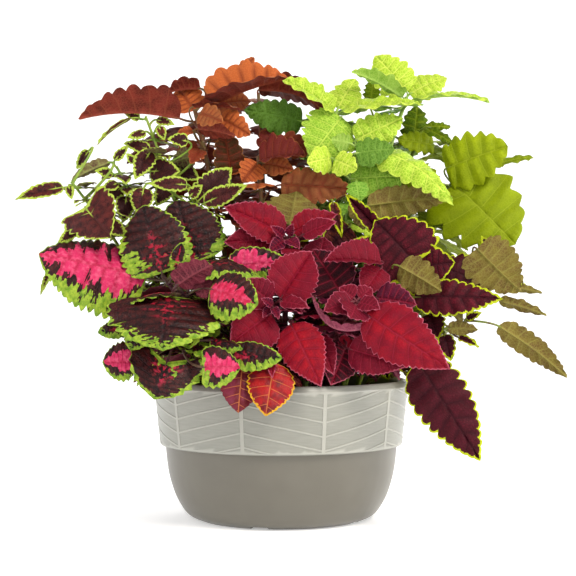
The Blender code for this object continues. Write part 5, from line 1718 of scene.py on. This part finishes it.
# %% [markdown]
# Lime leaves have a net of yellow veins on green, and young ones are so pale that the net nearly
# fills them. Chartreuse leaves are smooth yellow green, with only a hint of paler veins.

# %% Lime and chartreuse leaves
def lime_upper():
    mix, large, _, cells = upper_face("lime", 0.5, 0.12, 1.1, 3.4)
    tone = mix.mark("tone")
    green = mix.ramp(tone, (0.0, "405E16"), (0.3, "62922A"), (0.6, "8AAE2A"), (1.0, "A0BE2C"))
    pale = mix.ramp(tone, (0.0, "54762A"), (0.3, "8AB044"), (0.6, "BCD04E"), (1.0, "C8D656"))
    soft = mix.most(mix.scaled(mix.step(cells, 0.16, 0.02), 0.75), large)
    soft = mix.scaled(soft, mix.step(mix.patches(8, 2), 0.1, 0.5))
    shade = mix.blend(soft, furrow_shade(mix, green, "5A8020", 0.35), pale)
    shade = mix.tint(shade, mix.step(mix.mark("edge"), 2.5, 0.4), pale, 0.5)
    return mix.quilt(shade, cells, large, 0.6, 0.35)

def chartreuse_upper():
    mix, large, net, cells = upper_face("chartreuse", 0.5, 0.1, 0.9, 3.4)
    tone = mix.mark("tone")
    base = mix.ramp(tone, (0.0, "3E5A08"), (0.3, "607A06"), (0.55, "849203"), (1.0, "8E9E04"))
    deep = mix.ramp(tone, (0.0, "2E4606"), (0.5, "738204"), (1.0, "7C8C04"))
    shade = furrow_shade(mix, mix.mottled(base, deep, 16), "6A7C06", 0.5)
    shade = mix.tint(shade, mix.most(large, mix.scaled(net, 0.4)), "A4AE2A", 0.4)
    return mix.quilt(shade, cells, large, 0.35)

print(lime_upper.__name__, chartreuse_upper.__name__)

# %% [markdown]
# The two small ember leaves that hang over the planter are red with gold veins and a gold rim, or a
# dusty rose with paler veins.

# %% Ember leaves
def ember_upper():
    mix, large, _, cells = upper_face("ember", 0.42, 0.2, 0.7, 3.0)
    tone = mix.mark("tone")
    base = mix.ramp(tone, (0.0, "74283A"), (0.5, "84202A"), (1.0, "A01516"))
    shade = mix.tint(mix.mottled(base, "5E1018", 12, 0.35, 0.7, 2), large, "C8763C", 0.6)
    line = mix.scaled(mix.patches(1.8, 2), -4.4, mix.mark("edge"))
    gold = mix.scaled(mix.step(line, -0.2, -0.9), mix.step(tone, 0.3, 0.8))
    return mix.quilt(mix.blend(gold, shade, "C9981C"), cells, large, 0.3)

print(ember_upper.__name__)

# %% [markdown]
# Each kind now gets its three finishes, in this order on every piece: the upper face, the underside,
# and the stems and stalks.

# %% Finishes of each kind
FACES = {
    "rust": (rust_upper, ("7A2E24", "8E4630", "5E241C"), ("6E5A34", "7A3A24")),
    "lime": (lime_upper, ("9CC04E", "C2DA72", "88B040"), ("9DB85A", "7E9E3C")),
    "chartreuse": (chartreuse_upper, ("8C9C2A", "A8B24A", "7C8C20"), ("8A9A30", "6C7A24")),
    "edged": (edged_upper, ("7C6A48", "98A058", "5A3A34"), ("8CA23A", "6C8C30")),
    "mosaic": (mosaic_upper, ("6A2634", "8A4048", "4A1C26"), ("5A4A34", "47202A")),
    "crimson": (crimson_upper, ("8A3E54", "A05A68", "6E2A3E"), ("6A2C34", "48141E")),
    "ember": (ember_upper, ("7A2E34", "96504A", "62202A"), ("6A2C34", "48141E")),
    "wine": (wine_upper, ("75652C", "8F8A44", "66502A"), ("76862E", "5E3A2A")),
}
finishes = {kind: [upper(), underside(kind, *under), stalk_skin(kind, *skin)]
            for kind, (upper, under, skin) in FACES.items()}
print(3 * len(finishes), "finishes")

# %% [markdown]
# Now the pieces. One mesh for each shoot holds its stem, its stalks and its blades, and stands for
# the shoot's node of the solid model. Sharp edges along the margins keep the thin sheets crisp.

# %% Fine shoots
def mark_values(part, mark, vector):
    """A mark's values on one part. A stem or a stalk has its places for a vector, and else zeros."""
    verts, _, marks = part
    if marks:
        return marks[mark]
    return verts / MM if vector else np.zeros(len(verts))

def assemble(name, parts, kind):
    """One piece from parts given as (vertices, faces, marks), kept inside the solid model's box."""
    verts = np.clip(np.concatenate([part[0] for part in parts]), *cad_box)
    faces = []
    slots = []
    start = 0
    for part_verts, part_faces, _ in parts:
        for corners, slot in part_faces:
            faces.append([c + start for c in corners])
            slots.append(slot)
        start += len(part_verts)
    made = link_mesh(name, verts.tolist(), faces)
    mesh = made.data
    for finish in finishes[kind]:
        mesh.materials.append(finish)
    mesh.polygons.foreach_set("material_index", slots)
    for mark, sample in parts[1][2].items():
        vector = sample.ndim == 2
        layer = mesh.attributes.new(mark, "FLOAT_VECTOR" if vector else "FLOAT", "POINT")
        values = np.concatenate([mark_values(part, mark, vector) for part in parts])
        values = values.astype(np.float32).ravel()
        layer.data.foreach_set("vector" if vector else "value", values)
    mesh.set_sharp_from_angle(angle=math.radians(60))
    return made

luck = random.Random(SEED + 1)
triangles = 0
for shoot in shoots:
    leaves = grown[shoot.name] + inner[shoot.name]
    parts = [(*stem_tube(shoot, stems[shoot.name], [root for _, _, root in leaves]), None)]
    for k, (plan, blade, root) in enumerate(leaves):
        row = FINE_ROW if k < len(grown[shoot.name]) else COARSE_ROW
        measures = FINE[shoot.kind], KINDS[shoot.kind].size
        parts.append(fine_blade(blade, *measures, plan.tone, luck.random(), row))
        parts.append((*stalk_tube(blade, root), None))
    piece = assemble(shoot.name + "_leaves", parts, shoot.kind)
    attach(piece, "root")
    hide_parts(shoot.name)
    triangles += sum(len(p.vertices) - 2 for p in piece.data.polygons)
print(len(shoots), "shoots,", triangles, "triangles")

# %% [markdown]
# The planter is moulded in one piece: a plain rounded body below, and a wider band above whose
# herringbone of sunken slats is divided by thin raised bars. The rows of this mesh follow the slant
# of the bars and its columns follow the upright ones, so every step of the relief is crisp.

# %% The planter's surface
BAR_HALF = 1.9
BAR_FLANK = 0.6
LINE_HALF = 0.7
BAR_RISE = 0.4
SLAT_DEPTH = 0.7
BAND_EDGE = ((143.3, 88.5), (144.2, 88.9), (144.6, 89.6))
LIP_START = (152.2, 158.6)
ROW_GAP = 0.03
BAND_COLUMNS = 9
BODY_STEPS = 25
LIP_STEPS = 20

def band_turns():
    """Turns of the planter's columns in degrees, each with a flag that is 1 on an upright bar."""
    radius = (BAND_FOOT_RADIUS + BAND_TOP_RADIUS) / 2
    bar, flank = (math.degrees(mm / radius) for mm in (BAR_HALF, BAR_HALF + BAR_FLANK))
    panel = 360 / PANELS
    turns = []
    for k in range(PANELS):
        start = PANEL_START + k * panel
        turns += [(start - bar, 1), (start + bar, 1), (start + flank, 0)]
        for m in range(1, BAND_COLUMNS):
            turns.append((start + flank + (panel - 2 * flank) * m / BAND_COLUMNS, 0))
        turns.append((start + panel - flank, 0))
    return turns

def band_rows():
    """Heights of the band's rows over its foot where the slats start, each with its flag."""
    rows = []
    for k in range(-1, RIDGES + 1):
        middle = RIDGE_START + k * RIDGE_SPACING
        low, high = middle - LINE_HALF, middle + LINE_HALF
        rows += [(low - BAR_FLANK, 0), (low, 1), (high, 1), (high + BAR_FLANK, 0)]
        rows.append((middle + RIDGE_SPACING / 2, 0))
    return rows

def fine_planter():
    """Vertices and faces of the whole planter as one closed turned surface."""
    bars = dict(band_turns())
    low, high = BAND_FOOT_HEIGHT + 1.6, BAND_TOP_HEIGHT + 1

    def band_row(offset, line, lowest, highest):
        def place(turn):
            height = BAND_FOOT_HEIGHT + offset + RIDGE_RISE * slat_rise(turn)
            sunk = SLAT_DEPTH if low < height < high and not bars[turn] and not line else 0.0
            height = min(max(height, lowest), highest)
            return band_radius(height) + BAR_RISE - sunk, height
        return place

    outline = [(0, 0), *smooth_line(np.array(BODY_OUTLINE), BODY_STEPS), *BAND_EDGE]
    rows = [(-BAND_TOP_HEIGHT, 0)] + band_rows() + [(BAND_TOP_HEIGHT, 0)]
    for number, row in enumerate(rows):
        above = len(rows) - 1 - number
        outline.append(band_row(*row, low + ROW_GAP * number, high - ROW_GAP * above))
    outline += smooth_line(np.array((LIP_START, *RIM_OUTLINE[:5])), LIP_STEPS) + inner_outline()
    return turned([*outline, (0, FLOOR_THICKNESS)], list(bars))

print(len(band_turns()), "columns and", len(band_rows()), "rows in the band")

# %% [markdown]
# The planter's plastic is pale warm grey on the band, with a fine linen-like grain pressed into it,
# and taupe on the smooth body. Its foot has five shallow channels and five drain holes, cut here
# with one Boolean, as in the solid model.

# %% Planter piece
SAME_PLACE = 0.002 * MM
DRAIN_SIDES = 24

def prism(corners, low, high):
    """An upright block on a loop of (x, y) corners, in millimetres."""
    sides = len(corners)
    verts = [Vector((x, y, z)) * MM for z in (low, high) for x, y in corners]
    faces = [tuple(range(sides))[::-1], tuple(range(sides, 2 * sides))]
    faces += [(k, (k + 1) % sides, (k + 1) % sides + sides, k + sides) for k in range(sides)]
    return verts, faces

def drain_cutters():
    """What is cut from under the planter: each channel and its drain hole."""
    near, far = CHANNEL_REACH
    half = CHANNEL_WIDTH / 2
    cutters = []
    for k in range(CHANNELS):
        turn = math.radians(CHANNEL_START + 360 * k / CHANNELS)
        ahead, aside = math.cos(turn), math.sin(turn)
        block = [(x * ahead - y * aside, x * aside + y * ahead)
                 for x, y in ((near, -half), (far, -half), (far, half), (near, half))]
        hole = [(DRAIN_PLACE * ahead + DRAIN_RADIUS * math.cos(angle),
                 DRAIN_PLACE * aside + DRAIN_RADIUS * math.sin(angle))
                for angle in angles_round(DRAIN_SIDES)]
        cutters += [prism(block, -1, CHANNEL_HEIGHT), prism(hole, 1, FLOOR_THICKNESS + 1)]
    return cutters

def cut_away(target, meshes):
    """Cut closed meshes out of a solid with one Boolean, which is then applied."""
    tools = bpy.data.collections.new("cutters")
    bpy.context.scene.collection.children.link(tools)
    for verts, faces in meshes:
        mesh = bpy.data.meshes.new("cutter")
        mesh.from_pydata(verts, [], faces)
        tools.objects.link(bpy.data.objects.new(mesh.name, mesh))
    boolean = target.modifiers.new("cut", "BOOLEAN")
    boolean.operation = "DIFFERENCE"
    boolean.operand_type = "COLLECTION"
    boolean.collection = tools
    boolean.solver = "EXACT"
    bpy.context.view_layer.update()
    changed = target.evaluated_get(bpy.context.evaluated_depsgraph_get())
    applied = bpy.data.meshes.new_from_object(changed)
    target.modifiers.clear()
    target.data = applied
    for tool in list(tools.objects):
        bpy.data.objects.remove(tool)
    bpy.data.collections.remove(tools)

def planter_finish():
    mix = Mixer("planter_plastic", 0.36, gloss=0.5)
    place = mix.nodes.new("ShaderNodeTexCoord").outputs["Object"]
    parts = mix.nodes.new("ShaderNodeSeparateXYZ")
    mix.links.new(place, parts.inputs[0])
    stretch = mix.nodes.new("ShaderNodeMapping")
    stretch.inputs["Scale"].default_value = (0.09, 0.09, 1.0)
    mix.links.new(place, stretch.inputs["Vector"])
    grain = mix.noise(stretch.outputs[0], 0.0016, 2)
    cloud = mix.noise(place, 0.04, 2)
    band = mix.step(parts.outputs["Z"], (BAND_FOOT_HEIGHT - 0.4) * MM, BAND_FOOT_HEIGHT * MM)
    squares = [mix.calc("POWER", parts.outputs[axis], 2.0) for axis in "XY"]
    radius = mix.calc("SQRT", mix.calc("ADD", *squares))
    slope = (BAND_TOP_RADIUS - BAND_FOOT_RADIUS) / (BAND_TOP_HEIGHT - BAND_FOOT_HEIGHT)
    plain = (BAND_FOOT_RADIUS - slope * BAND_FOOT_HEIGHT) * MM
    proud = mix.calc("SUBTRACT", radius, mix.scaled(parts.outputs["Z"], slope, plain))
    slat = mix.blend(mix.step(grain, 0.3, 0.72), "86867D", "8C8C83")
    # Painted highlight and shade: where the relief stands proud the plastic is painted lighter, and
    # the sunken slats darker, as light would fall on them.
    upper = mix.blend(mix.step(proud, -0.25 * MM, 0.25 * MM), slat, "A1A097")
    lower = mix.blend(mix.step(cloud, 0.3, 0.7), "625E54", "666258")
    return mix.done(mix.blend(band, lower, upper), mix.scaled(grain, band), 0.15)

planter = link_mesh("planter_body", *fine_planter())
bm = bmesh.new()
bm.from_mesh(planter.data)
bmesh.ops.remove_doubles(bm, verts=bm.verts, dist=SAME_PLACE)
bmesh.ops.dissolve_degenerate(bm, edges=bm.edges, dist=SAME_PLACE)
bm.to_mesh(planter.data)
bm.free()
cut_away(planter, drain_cutters())
planter.data.materials.clear()
planter.data.materials.append(planter_finish())
planter.data.shade_smooth()
planter.data.set_sharp_from_angle(angle=math.radians(26))
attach(planter, "root")
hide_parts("planter")
print("planter", len(planter.data.polygons), "faces")

# %% [markdown]
# Potting mix is dark and crumbly, with a few pale grains of perlite. The surface is a fine disc whose
# height comes from noise at three sizes, and its colour follows the same crumbs.

# %% Soil
SOIL_RADIUS = 141.2
SOIL_STEP = 2.0
SOIL_AROUND = 300
SOIL_SKIRT = SOIL_TOP - 22
SKIRT_INSET = 0.985

def soil_height(x, y):
    """Height of the soil over a place on the planter's floor, in millimetres."""
    place = Vector((x, y, 3.0))
    crumbs = noise.noise(place / 9) * 1.6 + noise.noise(place / 3.6) * 1.1
    return min(SOIL_TOP - 0.2, SOIL_TOP - 3.0 + crumbs + noise.noise(place / 40) * 1.2)

def make_soil():
    rings = round(SOIL_RADIUS / SOIL_STEP)
    verts = [(0, 0, soil_height(0, 0) * MM)]
    for ring in range(1, rings + 2):
        radius = min(ring * SOIL_STEP, SOIL_RADIUS)
        for angle in angles_round(SOIL_AROUND):
            x, y = radius * math.cos(angle), radius * math.sin(angle)
            height = soil_height(x, y)
            if ring > rings:
                x, y, height = x * SKIRT_INSET, y * SKIRT_INSET, SOIL_SKIRT
            verts.append((x * MM, y * MM, height * MM))
    verts.append((0, 0, SOIL_SKIRT * MM))
    return link_mesh("soil_crumb", verts, turned_faces(rings + 1, SOIL_AROUND, outward=False))

def soil_finish():
    mix = Mixer("potting_mix", 0.95)
    place = mix.nodes.new("ShaderNodeTexCoord").outputs["Object"]
    crumbs = mix.noise(place, 0.0035, 4)
    cells = mix.net(place, 0.006)
    shade = mix.ramp(crumbs, (0.3, "120C08"), (0.55, "2A1D13"), (0.75, "44311F"))
    grains = mix.noise(place, 0.0042, 0)
    shade = mix.blend(mix.step(grains, 0.73, 0.76), shade, "C9C2B4")
    return mix.done(shade, mix.calc("ADD", crumbs, mix.step(cells, 0.0, 0.2)), 1.4)

soil = make_soil()
soil.data.materials.append(soil_finish())
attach(soil, "root")
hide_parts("soil")
print("soil", len(soil.data.polygons), "faces")
